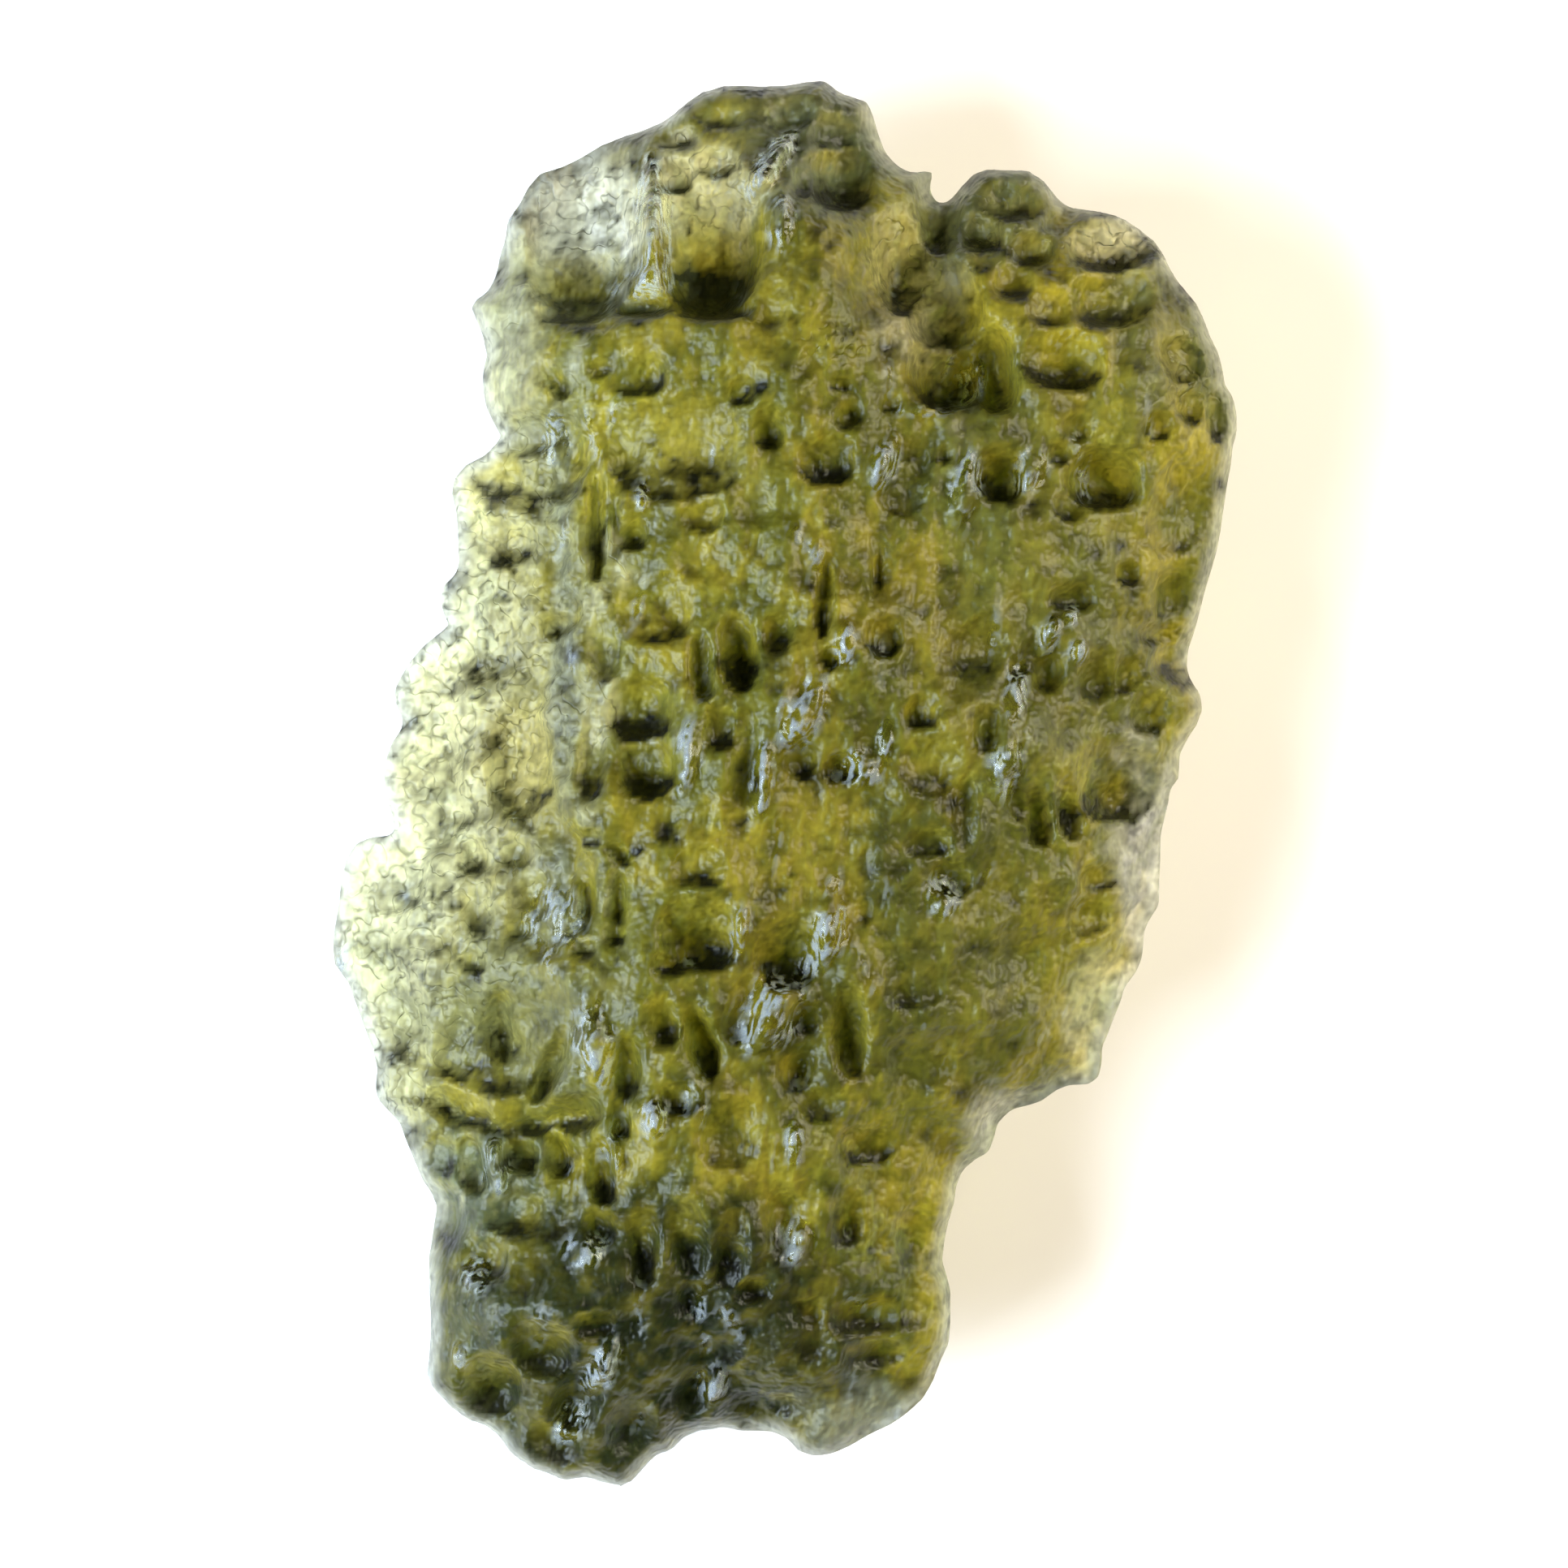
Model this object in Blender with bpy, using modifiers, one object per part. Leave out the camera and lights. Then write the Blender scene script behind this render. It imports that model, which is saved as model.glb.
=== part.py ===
"""A moldavite: one flat, lobed piece of natural green glass, lying on its back.

The broad face that is seen points up (+Z) and the stone's long axis lies along Y. The outline is a
closed curve, filled and thickened to a slab. The slab is remeshed and swollen to the stone's thickness.
Both faces are then scooped out by pits, grooves and rim flutes. The upper face also has a few ridges
and three long steps. A plane cut at Z = 0 leaves the worn flat on which the stone rests.
"""

import math
import random

import bmesh
import bpy
import numpy as np
from mathutils import Vector, kdtree, noise

MM = 0.001

# Driving dimensions, in millimetres: the rim's mean height over the table, the slab before it is swollen,
# the mesh's spacing, and the least thickness above or below the middle surface
MIDDLE_HEIGHT = 3.9
SLAB_HALF = 1.0
VOXEL = 0.25
WELD_DISTANCE = 0.001
LEAST_HALF = 0.22

# How finely the outline's curve is drawn, how much the mesh's steps are softened, and the triangles left
OUTLINE_RESOLUTION = 5
SOFTENING = 0.5
MOST_TRIANGLES = 9400

# The outline, in millimetres from the middle of the face, clockwise and edge by edge
TOP_EDGE = (
    (-6.80, 13.80), (-6.10, 14.95), (-4.60, 15.68), (-3.10, 16.22), (-2.10, 17.00), (-1.30, 17.12),
    (0.90, 17.30), (1.40, 17.00), (2.05, 16.80), (2.40, 15.95), (2.95, 15.20), (3.60, 15.12),
    (3.68, 14.70), (3.92, 14.40),
)
RIGHT_SHOULDER = (
    (4.45, 14.85), (5.20, 15.12), (6.10, 14.98), (6.95, 14.32), (8.10, 14.00), (9.10, 13.38),
    (9.60, 12.50), (10.20, 11.65), (10.68, 10.45), (11.06, 9.45), (11.13, 8.62),
)
RIGHT_EDGE = (
    (10.92, 7.50), (10.75, 6.00), (10.30, 4.50), (9.93, 2.95), (10.27, 1.90), (9.80, 0.90),
    (9.68, 0.15), (9.38, -1.00), (9.22, -2.80), (8.82, -3.75), (8.76, -4.50), (8.28, -5.20),
    (7.80, -6.45), (7.72, -7.20), (6.95, -7.43), (6.20, -7.90), (5.52, -8.12), (5.20, -8.85),
    (4.40, -9.50),
)
LOWER_LOBE = (
    (4.20, -10.40), (3.94, -11.60), (4.10, -12.70), (4.02, -13.90), (3.45, -15.10), (2.35, -15.75),
    (1.10, -16.52), (0.36, -16.50), (-0.10, -16.10), (-1.50, -15.95), (-2.70, -16.35), (-3.50, -16.95),
    (-4.15, -17.30), (-5.40, -17.15), (-6.50, -16.60), (-7.30, -15.80), (-8.20, -15.25), (-8.70, -14.60),
)
LOWER_LEFT = (
    (-8.72, -12.80), (-8.58, -10.60), (-9.08, -9.50), (-9.46, -8.35), (-10.03, -7.70), (-10.13, -6.60),
    (-10.55, -5.30), (-11.10, -4.50), (-11.10, -3.40), (-10.85, -2.00), (-10.35, -1.40), (-9.58, -1.25),
)
UPPER_LEFT = (
    (-9.83, 0.20), (-9.36, 1.35), (-9.62, 2.10), (-9.05, 3.20), (-8.20, 3.86), (-8.42, 4.45),
    (-7.97, 5.20), (-8.00, 6.30), (-8.12, 7.30), (-7.55, 8.00), (-6.92, 8.42), (-7.36, 9.50),
    (-7.28, 10.50), (-7.70, 11.75), (-7.18, 12.20), (-7.02, 13.10),
)
OUTLINE = TOP_EDGE + RIGHT_SHOULDER + RIGHT_EDGE + LOWER_LOBE + LOWER_LEFT + UPPER_LEFT

# Thickness above and below the middle surface: at the rim, and how far inwards the swelling reaches
RIM_HALF = 0.95
RIM_ROUND = 0.75
RIM_BLUNT_SHARE = 0.30
RIM_SPACING = 0.15
SWELL_REACH = 3.1
TOP_SWELL = 3.0
BELLY_SWELL = 3.45
BELLY_REACH = 4.6

# Long waves of each face: height, spacing, and which stretch of the noise is used
UPPER_WAVES = (0.28, 3.4, 4.0)
LOWER_WAVES = (0.30, 3.8, 21.0)

# The same for how the rim wanders up and down, how the long steps wind, and the ragged edge of the rest flat
RIM_WANDER = (0.80, 9.0, 63.0)
STEP_WINDING = (0.70, 2.2, 77.0)
REST_RAGGED = (1.10, 4.0, 43.0)
WAVE_ROUGHNESS = 0.6
WAVE_RATIO = 2.1
WAVE_LAYERS = 4
WAVE_SHARE_AT_RIM = 0.2
WAVE_GROWTH = 1.5

# Broad changes of the upper face: x, y, half-width, half-length, height. A flange is lower, a crest higher.
SWELLINGS = (
    (-9.0, 0.5, 3.6, 8.5, -1.40),  # the thin flange on the left
    (-5.2, 14.4, 2.2, 2.0, -0.60),  # the fall to the upper left rim
    (-1.0, 1.0, 4.5, 9.5, 0.35),  # the back's broad crest
    (7.6, -5.4, 2.8, 3.6, -1.10),  # the thin right-hand corner
    (9.4, -2.4, 1.0, 2.0, -0.80),  # the thin rim above that corner
    (2.4, -15.3, 2.3, 1.5, -0.75),  # the thin tip below
    (-5.2, -12.4, 3.2, 1.0, 0.55),  # an arched ridge across the lower lobe
    (0.4, 15.9, 2.2, 1.5, -0.50),  # the slope at the top
    (0.8, 11.4, 1.3, 3.4, 0.65),  # the spine between the upper pits
    (10.2, 8.0, 1.6, 3.0, -0.35),  # the fall to the right-hand rim
)

# The same for the underside, where a positive height is a thicker stone
LOWER_SWELLINGS = (
    (-8.6, 1.5, 2.8, 8.0, -1.35),  # the left flange
    (9.2, -3.5, 1.6, 3.2, -1.00),  # the thin rim on the right
    (-3.0, -13.5, 5.0, 3.0, 0.60),  # the lower lobe
    (9.0, 6.0, 2.5, 7.0, 0.50),  # the blunt right-hand side
)

# Pits of the upper face: x, y, half-length, half-width, turn in degrees, depth, lean.
# The long axis points down the face, turned anticlockwise. Lean makes the lower end the steep one.
UPPER_PITS = (
    # the two big pits at the upper left, and the slope at the top
    (-4.85, 13.25, 2.15, 1.55, 3, 2.20, 0.80),
    (-1.75, 13.15, 2.05, 1.30, -3, 2.50, 0.85),
    (-4.95, 11.50, 0.45, 1.05, 6, 1.45, 0.10),
    (-3.45, 11.50, 0.40, 0.90, -4, 1.40, 0.10),
    (-1.70, 11.35, 0.35, 1.00, 0, 1.30, 0.10),
    (-1.60, 16.25, 0.55, 1.00, -12, 0.45, 0.40),
    (1.30, 14.75, 0.95, 0.85, 10, 1.20, 0.60),
    # the slanting pit that runs down from the notch
    (3.70, 13.80, 1.05, 0.60, 5, 1.30, 0.20),
    (2.85, 12.65, 1.50, 0.80, 8, 1.45, 0.70),
    (3.85, 11.50, 1.35, 1.00, 14, 1.80, 0.40),
    (3.95, 9.95, 1.05, 1.00, 14, 2.50, 0.60),
    (5.00, 10.00, 1.20, 0.60, 10, 1.70, 0.30),
    # the upper right lobe and the right side
    (5.60, 14.20, 0.60, 0.90, 5, 0.60, 0.20),
    (5.90, 12.80, 0.70, 0.90, 0, 0.60, 0.40),
    (8.05, 13.15, 0.75, 1.20, 12, 1.20, 0.70),
    (7.90, 11.75, 0.80, 1.10, 8, 1.05, 0.60),
    (6.70, 10.15, 0.75, 1.02, -5, 1.20, 0.70),
    (9.60, 10.30, 0.80, 0.65, 20, 0.70, 0.40),
    (10.55, 8.90, 0.80, 0.40, 4, 0.70, 0.10),
    (7.70, 7.35, 0.80, 0.98, 5, 1.40, 0.35),
    (5.20, 7.40, 0.72, 0.62, 0, 1.25, 0.60),
    (9.60, 6.60, 1.30, 0.80, -10, 0.55, 0.20),
    (6.90, 4.50, 0.45, 0.60, 0, 0.60, 0.60),
    (7.75, 2.60, 0.75, 0.65, 0, 0.65, 0.30),
    (8.85, 1.75, 0.60, 0.55, 0, 0.60, 0.30),
    (8.05, 0.05, 1.05, 1.12, 0, 1.30, 0.65),
    (6.40, -0.65, 0.90, 0.55, 8, 0.80, 0.60),
    (7.50, -2.90, 0.80, 0.70, 15, 0.50, 0.30),
    # the middle, above
    (-2.60, 8.05, 1.35, 1.75, 0, 0.75, 0.75),
    (1.05, 7.70, 0.65, 0.70, 0, 0.85, 0.60),
    (2.90, 7.30, 1.00, 0.60, -12, 0.55, 0.40),
    (-4.40, 6.45, 1.65, 0.38, 0, 0.80, 0.60),
    (-3.62, 5.95, 0.50, 0.42, 0, 0.75, 0.50),
    (-3.10, 4.20, 0.90, 1.05, 0, 0.50, 0.50),
    (-1.10, 3.15, 1.00, 0.55, 4, 1.05, 0.75),
    (-3.40, 1.75, 0.85, 0.80, 0, 0.75, 0.50),
    (-3.25, 0.45, 0.88, 0.72, 0, 1.00, 0.60),
    (0.98, 4.45, 1.05, 0.38, -3, 0.65, 0.55),
    (2.35, 3.45, 0.52, 0.46, 0, 0.75, 0.50),
    (3.30, 1.70, 0.50, 0.50, 0, 0.60, 0.50),
    (3.50, 0.40, 0.75, 0.75, 0, 0.50, 0.40),
    # the middle, below
    (-4.45, -2.65, 1.05, 0.42, -2, 0.65, 0.30),
    (-2.05, -3.55, 0.98, 0.98, 0, 1.10, 0.60),
    (0.05, -4.00, 1.00, 0.78, 4, 1.20, 0.75),
    (-2.00, -6.05, 1.05, 0.45, 18, 0.90, 0.60),
    (-3.75, -6.80, 0.90, 0.45, 0, 0.75, 0.40),
    (-0.85, -5.30, 1.00, 0.55, -28, 0.65, 0.20),
    (1.58, -5.90, 1.18, 0.48, 2, 0.85, 0.40),
    (2.00, -8.70, 0.55, 0.75, 0, 0.60, 0.50),
    (-1.30, -8.30, 0.90, 0.75, 0, 0.50, 0.30),
    # the left flange
    (-7.00, 7.55, 0.65, 0.70, 0, 0.65, 0.50),
    (-6.75, 5.90, 0.60, 0.85, 0, 0.55, 0.60),
    (-7.20, 3.30, 0.80, 1.00, 15, 0.50, 0.60),
    (-6.40, 0.60, 1.50, 0.85, 0, 0.75, 0.40),
    (-8.60, 0.20, 1.00, 0.85, 0, 0.55, 0.20),
    (-9.60, -2.35, 0.85, 0.90, 5, 0.85, 0.60),
    # the bowl with its two grooves, and the ledge under it
    (-6.80, -5.90, 1.75, 1.90, 0, 1.05, 0.60),
    (-6.88, -5.80, 1.22, 0.50, 0, 1.60, 0.45),
    (-5.60, -6.75, 1.20, 0.45, -24, 1.60, 0.40),
    (-7.75, -7.85, 0.50, 1.10, -14, 0.70, 0.30),
    (-6.30, -8.10, 0.60, 1.05, 4, 0.95, 0.20),
    (-5.05, -7.95, 0.50, 0.80, 16, 0.70, 0.30),
    (-7.60, -9.30, 0.80, 0.50, 10, 0.90, 0.20),
    (-4.35, -9.35, 0.85, 0.48, 4, 1.05, 0.60),
    # the lower lobe
    (-3.35, -11.00, 1.10, 0.48, 0, 0.60, 0.70),
    (-2.00, -10.90, 1.10, 0.70, 4, 0.60, 0.50),
    (-7.20, -11.50, 0.60, 0.60, 0, 0.65, 0.30),
    (-4.55, -12.95, 0.50, 0.55, 0, 0.75, 0.30),
    (-5.80, -13.60, 0.80, 0.80, -15, 0.85, 0.30),
    (-7.10, -14.60, 0.90, 0.75, -10, 0.90, 0.30),
    (-5.00, -14.90, 1.10, 0.60, -25, 1.00, 0.20),
    (-3.70, -15.60, 0.90, 0.60, -15, 0.55, 0.30),
    (-2.20, -14.80, 0.70, 0.50, -20, 0.65, 0.30),
    (2.00, -12.90, 0.50, 1.00, 0, 0.60, 0.50),
    (2.20, -13.80, 0.50, 0.80, 0, 0.50, 0.40),
)

# Ridges between the pits: x, y, half-length, half-width, turn in degrees, height
RIDGES = (
    (-3.15, 13.60, 2.10, 0.45, 2, 0.45),
    (-0.35, 14.90, 1.30, 0.40, -32, 0.55),
    (0.45, 1.60, 1.15, 0.45, -26, 0.40),
    (1.10, -3.70, 1.00, 0.40, -16, 0.35),
    (-0.35, -5.45, 1.20, 0.60, -30, 0.45),
    (-5.55, -3.25, 0.85, 0.60, 0, 0.35),
    (-4.55, -6.20, 1.30, 0.45, 6, 0.35),
    (-6.95, -9.30, 0.80, 0.40, 8, 0.45),
    (-4.40, -14.10, 0.90, 0.45, -28, 0.45),
    (-5.20, -15.60, 0.70, 0.40, -30, 0.40),
)

# Long steps: from x, y to x, y, the width of the slope, the drop on the left of that way, how far it reaches.
# A negative drop lowers the right of it.
STEPS = (
    (-5.30, 8.60, -5.25, -4.20, 0.50, -0.75, 5.0),
    (-4.60, -8.00, -8.60, -7.75, 0.40, 0.55, 2.5),
    (-5.40, 11.00, 0.10, 11.05, 0.40, 0.35, 2.0),
)
STEP_END = 0.6

# Flutes that run in from the rim's notches, over both faces:
# x, y, turn in degrees, half-length, half-width, depth
RIM_FLUTES = (
    (3.80, 14.20, 0, 1.50, 0.60, 1.10),
    (6.90, 14.20, -25, 1.00, 0.45, 0.60),
    (9.95, 3.00, -80, 1.20, 0.55, 0.60),
    (9.65, 0.50, -80, 0.80, 0.40, 0.55),
    (8.30, -5.00, -60, 0.90, 0.45, 0.45),
    (5.60, -8.20, -50, 1.00, 0.55, 0.55),
    (4.10, -11.40, -90, 0.90, 0.70, 0.55),
    (-0.80, -15.90, 180, 1.10, 0.90, 0.75),
    (-8.70, -10.60, 90, 1.00, 0.80, 0.50),
    (-9.50, -8.30, 70, 0.90, 0.50, 0.50),
    (-9.60, -1.20, 90, 1.70, 0.50, 0.75),
    (-9.40, 1.35, 90, 1.30, 0.42, 0.70),
    (-8.30, 3.86, 80, 1.30, 0.42, 0.75),
    (-7.98, 5.40, 90, 0.90, 0.40, 0.50),
    (-6.95, 8.42, 95, 1.80, 0.55, 0.85),
    (-7.30, 10.60, 90, 0.80, 0.45, 0.45),
    (-7.00, 12.80, 80, 0.80, 0.45, 0.45),
)

# Small pits strewn over each face between the large ones, with ranges for their sizes
STREWN_ABOVE = {
    "seed": 11,
    "spacing": 1.5,
    "half_length": (0.40, 0.90),
    "slimness": (0.40, 0.75),
    "depth": (0.04, 0.14),
}
STREWN_BELOW = {
    "seed": 29,
    "spacing": 1.75,
    "half_length": (0.90, 1.70),
    "slimness": (0.55, 0.90),
    "depth": (0.35, 0.85),
}
FLOW_SPREAD = 24
MOST_LEAN = 0.7
STREWN_JITTER = (-0.1, 1.1)

# The hollow of one pit: how square its oval is, how steep its walls are, how much steeper a leaning
# pit's lower end is, and what keeps a leaning pit from growing deeper than its depth
PIT_SQUARENESS = 2.4
PIT_STEEPNESS = 0.85
LEAN_STEEPNESS = 0.4
LEAN_LEVEL = 0.4

# The worn flat in the middle of the underside, which no pit reaches: x, y, radius.
# Then how far outwards the pits come back, and how far the belly slopes down to the flat.
REST_SPOT = (-0.1, 0.4, 2.1)
REST_BLEND = 1.4
REST_SLOPE = 4.0
REST_PROUD = 0.12

# The block that cuts the underside off flat
CUTTER_WIDTH = 52.0
CUTTER_DEPTH = 4.0

# How the pits fade towards the rim: their share at the rim, and the distance over which it grows
PIT_SHARE_AT_RIM = 0.35
PIT_GROWTH = 1.6

GLASS_COLOUR = (0.30, 0.29, 0.05, 1.0)
GLASS_ROUGHNESS = 0.12
GLASS_IOR = 1.49
GLASS_TRANSMISSION = 0.8


def clear_scene():
    for item in list(bpy.data.objects):
        bpy.data.objects.remove(item)


def new_collection(name):
    made = bpy.data.collections.new(name)
    bpy.context.scene.collection.children.link(made)
    return made


def glass_material():
    material = bpy.data.materials.new("natural_green_glass")
    material.use_nodes = True
    shader = material.node_tree.nodes["Principled BSDF"]
    shader.inputs["Base Color"].default_value = GLASS_COLOUR
    shader.inputs["Roughness"].default_value = GLASS_ROUGHNESS
    shader.inputs["Metallic"].default_value = 0.0
    shader.inputs["IOR"].default_value = GLASS_IOR
    shader.inputs["Transmission Weight"].default_value = GLASS_TRANSMISSION
    return material


def outline_curve(collection):
    """The stone's outline as one closed curve, filled and extruded to a slab."""
    curve = bpy.data.curves.new("outline", "CURVE")
    curve.dimensions = "2D"
    curve.fill_mode = "BOTH"
    curve.extrude = SLAB_HALF * MM
    curve.resolution_u = OUTLINE_RESOLUTION
    spline = curve.splines.new("BEZIER")
    spline.use_cyclic_u = True
    spline.bezier_points.add(len(OUTLINE) - 1)
    for point, (x, y) in zip(spline.bezier_points, OUTLINE):
        point.co = (x * MM, y * MM, 0)
        point.handle_left_type = "AUTO"
        point.handle_right_type = "AUTO"
    made = bpy.data.objects.new("outline", curve)
    collection.objects.link(made)
    return made


def evaluated_mesh(thing):
    bpy.context.view_layer.update()
    graph = bpy.context.evaluated_depsgraph_get()
    return bpy.data.meshes.new_from_object(thing.evaluated_get(graph))


def welded(mesh):
    shape = bmesh.new()
    shape.from_mesh(mesh)
    bmesh.ops.remove_doubles(shape, verts=shape.verts, dist=WELD_DISTANCE * MM)
    bmesh.ops.recalc_face_normals(shape, faces=shape.faces)
    shape.to_mesh(mesh)
    shape.free()
    return mesh


def remeshed_slab(collection, helpers):
    """The slab as an even mesh of quads, fine enough to carry the pits."""
    curve = outline_curve(helpers)
    stone = bpy.data.objects.new("moldavite", welded(evaluated_mesh(curve)))
    bpy.data.objects.remove(curve)
    collection.objects.link(stone)
    remesh = stone.modifiers.new("even_mesh", "REMESH")
    remesh.mode = "VOXEL"
    remesh.voxel_size = VOXEL * MM
    even = evaluated_mesh(stone)
    stone.modifiers.remove(remesh)
    stone.data = even
    return stone


def rim_distance(points):
    """How far each point of the face lies inwards from the outline, in millimetres."""
    dense = []
    for first, second in zip(OUTLINE, OUTLINE[1:] + OUTLINE[:1]):
        a = Vector((*first, 0))
        b = Vector((*second, 0))
        steps = max(1, math.ceil((b - a).length / RIM_SPACING))
        dense += [a.lerp(b, i / steps) for i in range(steps)]
    tree = kdtree.KDTree(len(dense))
    for index, point in enumerate(dense):
        tree.insert(point, index)
    tree.balance()
    return np.array([tree.find((x, y, 0))[2] for x, y in points])


def smooth_step(value):
    value = np.clip(value, 0, 1)
    return value * value * (3 - 2 * value)


def down_and_across(points, x, y, half_length, half_width, turn):
    """Where each point lies in a turned oval: 1 is the oval's end, first along it and then across."""
    angle = math.radians(turn)
    east = points[:, 0] - x
    north = points[:, 1] - y
    down = (-north * math.cos(angle) + east * math.sin(angle)) / half_length
    across = (east * math.cos(angle) + north * math.sin(angle)) / half_width
    return down, across


def pit_depth(points, x, y, half_length, half_width, turn, depth, lean):
    """The depth of one scooped pit at each point. It is zero outside the pit's oval."""
    down, across = down_and_across(points, x, y, half_length, half_width, turn)
    inside = np.clip(1 - abs(down) ** PIT_SQUARENESS - abs(across) ** PIT_SQUARENESS, 0, None)
    steepness = PIT_STEEPNESS - LEAN_STEEPNESS * lean * smooth_step(down)
    return depth * inside**steepness * (1 + lean * down) / (1 + LEAN_LEVEL * lean)


def deepest(points, pits):
    """Pits that overlap meet at a sharp edge, because the deeper one wins at each point."""
    found = np.zeros(len(points))
    for pit in pits:
        found = np.maximum(found, pit_depth(points, *pit))
    return found


def strewn_pits(seed, spacing, half_length, slimness, depth):
    """Small pits on a loose grid over the whole face, long axes near the glass's flow."""
    dice = random.Random(seed)
    half_wide = max(abs(x) for x, _ in OUTLINE)
    half_high = max(abs(y) for _, y in OUTLINE)
    found = []
    for row in range(int(2 * half_high / spacing) + 1):
        for column in range(int(2 * half_wide / spacing) + 1):
            x = -half_wide + (column + dice.uniform(*STREWN_JITTER)) * spacing
            y = -half_high + (row + dice.uniform(*STREWN_JITTER)) * spacing
            length = dice.uniform(*half_length)
            width = length * dice.uniform(*slimness)
            turn = dice.gauss(0, FLOW_SPREAD)
            found.append((x, y, length, width, turn, dice.uniform(*depth), dice.uniform(0, MOST_LEAN)))
    return found


def flute_pits():
    return [(x, y, length, width, turn, depth, 0.0) for x, y, turn, length, width, depth in RIM_FLUTES]


def waves(points, height, spacing, offset):
    """Soft uneven waves, in layers that get finer and lower."""
    rough = []
    for x, y in points:
        place = (x / spacing, y / spacing, offset)
        rough.append(noise.fractal(place, WAVE_ROUGHNESS, WAVE_RATIO, WAVE_LAYERS))
    return height * np.array(rough)


def wave_share(distance):
    return np.clip(distance / WAVE_GROWTH, WAVE_SHARE_AT_RIM, 1)


def rim_profile(distance, swell, reach):
    """Half the thickness at a distance from the rim: a rounded edge, then a swelling that levels out."""
    edge = np.clip(distance / RIM_ROUND, 0, 1)
    rounded = RIM_BLUNT_SHARE + (1 - RIM_BLUNT_SHARE) * np.sqrt(1 - (1 - edge) ** 2)
    return RIM_HALF * rounded + swell * (1 - np.exp(-distance / reach))


def broad_swellings(points, swellings):
    total = np.zeros(len(points))
    for x, y, half_width, half_length, height in swellings:
        across = (points[:, 0] - x) / half_width
        along = (points[:, 1] - y) / half_length
        total += height * np.exp(-(across**2) - along**2)
    return total


def ridge_height(points):
    total = np.zeros(len(points))
    for x, y, half_length, half_width, turn, height in RIDGES:
        down, across = down_and_across(points, x, y, half_length, half_width, turn)
        total += height * np.clip(1 - down**2 - across**2, 0, None)
    return total


def step_drop(points):
    """What the long steps take off: full beside the step, fading beyond its ends and away from it."""
    total = np.zeros(len(points))
    winding = waves(points, *STEP_WINDING)
    for start_x, start_y, end_x, end_y, width, drop, reach in STEPS:
        way = np.array([end_x - start_x, end_y - start_y])
        length = math.hypot(*way)
        way /= length
        offset = points - np.array([start_x, start_y])
        along = offset @ way
        side = math.copysign(1, drop) * (offset @ np.array([-way[1], way[0]]) + winding)
        starts = smooth_step((along + STEP_END) / (2 * STEP_END))
        stops = smooth_step((length - along + STEP_END) / (2 * STEP_END))
        fading = np.exp(-np.clip(side, 0, None) / reach)
        total += abs(drop) * starts * stops * smooth_step(side / width + 0.5) * fading
    return total


def pit_share(distance):
    return np.clip(PIT_SHARE_AT_RIM + distance / PIT_GROWTH, 0, 1)


def upper_half(points, distance):
    """Height of the upper face over the middle surface."""
    height = rim_profile(distance, TOP_SWELL, SWELL_REACH) + broad_swellings(points, SWELLINGS)
    height += waves(points, *UPPER_WAVES) * wave_share(distance)
    height += ridge_height(points) - step_drop(points)
    pits = deepest(points, UPPER_PITS + tuple(flute_pits()))
    pits += deepest(points, strewn_pits(**STREWN_ABOVE))
    return np.maximum(height - pits * pit_share(distance), LEAST_HALF)


def lower_half(points, distance, middle):
    """Depth of the lower face under the middle surface."""
    depth = rim_profile(distance, BELLY_SWELL, BELLY_REACH) + broad_swellings(points, LOWER_SWELLINGS)
    depth += waves(points, *LOWER_WAVES) * wave_share(distance)
    x, y, radius = REST_SPOT
    from_rest = np.hypot(points[:, 0] - x, points[:, 1] - y) - waves(points, *REST_RAGGED)
    spared = np.clip((from_rest - radius) / REST_BLEND, 0, 1)
    lowered = 1 - smooth_step((from_rest - radius) / REST_SLOPE)
    depth += np.clip(middle + REST_PROUD - depth, 0, None) * lowered
    pits =deepest(points, flute_pits() + strewn_pits(**STREWN_BELOW))
    return np.maximum(depth - pits * spared * pit_share(distance), LEAST_HALF)


def swell_and_scoop(stone):
    """Moves each point of the slab to its place between the lower and the upper face."""
    count = len(stone.data.vertices)
    places = np.empty(count * 3)
    stone.data.vertices.foreach_get("co", places)
    places = places.reshape(-1, 3) / MM
    flat = places[:, :2]
    distance = rim_distance(flat)
    share = np.clip(places[:, 2] / SLAB_HALF, -1, 1)
    middle = MIDDLE_HEIGHT + waves(flat, *RIM_WANDER)
    upper = upper_half(flat, distance)
    lower = lower_half(flat, distance, middle)
    places[:, 2] = middle + np.where(share > 0, share * upper, share * lower)
    stone.data.vertices.foreach_set("co", (places * MM).ravel())
    stone.data.update()


def rest_cutter(helpers):
    """A block whose top lies at Z = 0, which cuts the underside off flat."""
    bpy.ops.mesh.primitive_cube_add(size=1)
    cutter = bpy.context.object
    cutter.name = "rest_cutter"
    cutter.location = (0, 0, -CUTTER_DEPTH / 2 * MM)
    cutter.scale = (CUTTER_WIDTH * MM, CUTTER_WIDTH * MM, CUTTER_DEPTH * MM)
    cutter.hide_render = True
    cutter.display_type = "WIRE"
    for owner in cutter.users_collection:
        owner.objects.unlink(cutter)
    helpers.objects.link(cutter)
    return cutter


def finish_solid(stone, helpers):
    """Smooths the mesh's steps, brings it down to its triangles, and cuts the resting flat."""
    smooth = stone.modifiers.new("soften_steps", "SMOOTH")
    smooth.factor = SOFTENING
    smooth.iterations = 1
    fewer = stone.modifiers.new("fewer_faces", "DECIMATE")
    stone.data.calc_loop_triangles()
    fewer.ratio = min(1.0, MOST_TRIANGLES / len(stone.data.loop_triangles))
    cut = stone.modifiers.new("rest_flat", "BOOLEAN")
    cut.operation = "DIFFERENCE"
    cut.solver = "EXACT"
    cut.object = rest_cutter(helpers)
    stone.data.shade_smooth()


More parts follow.
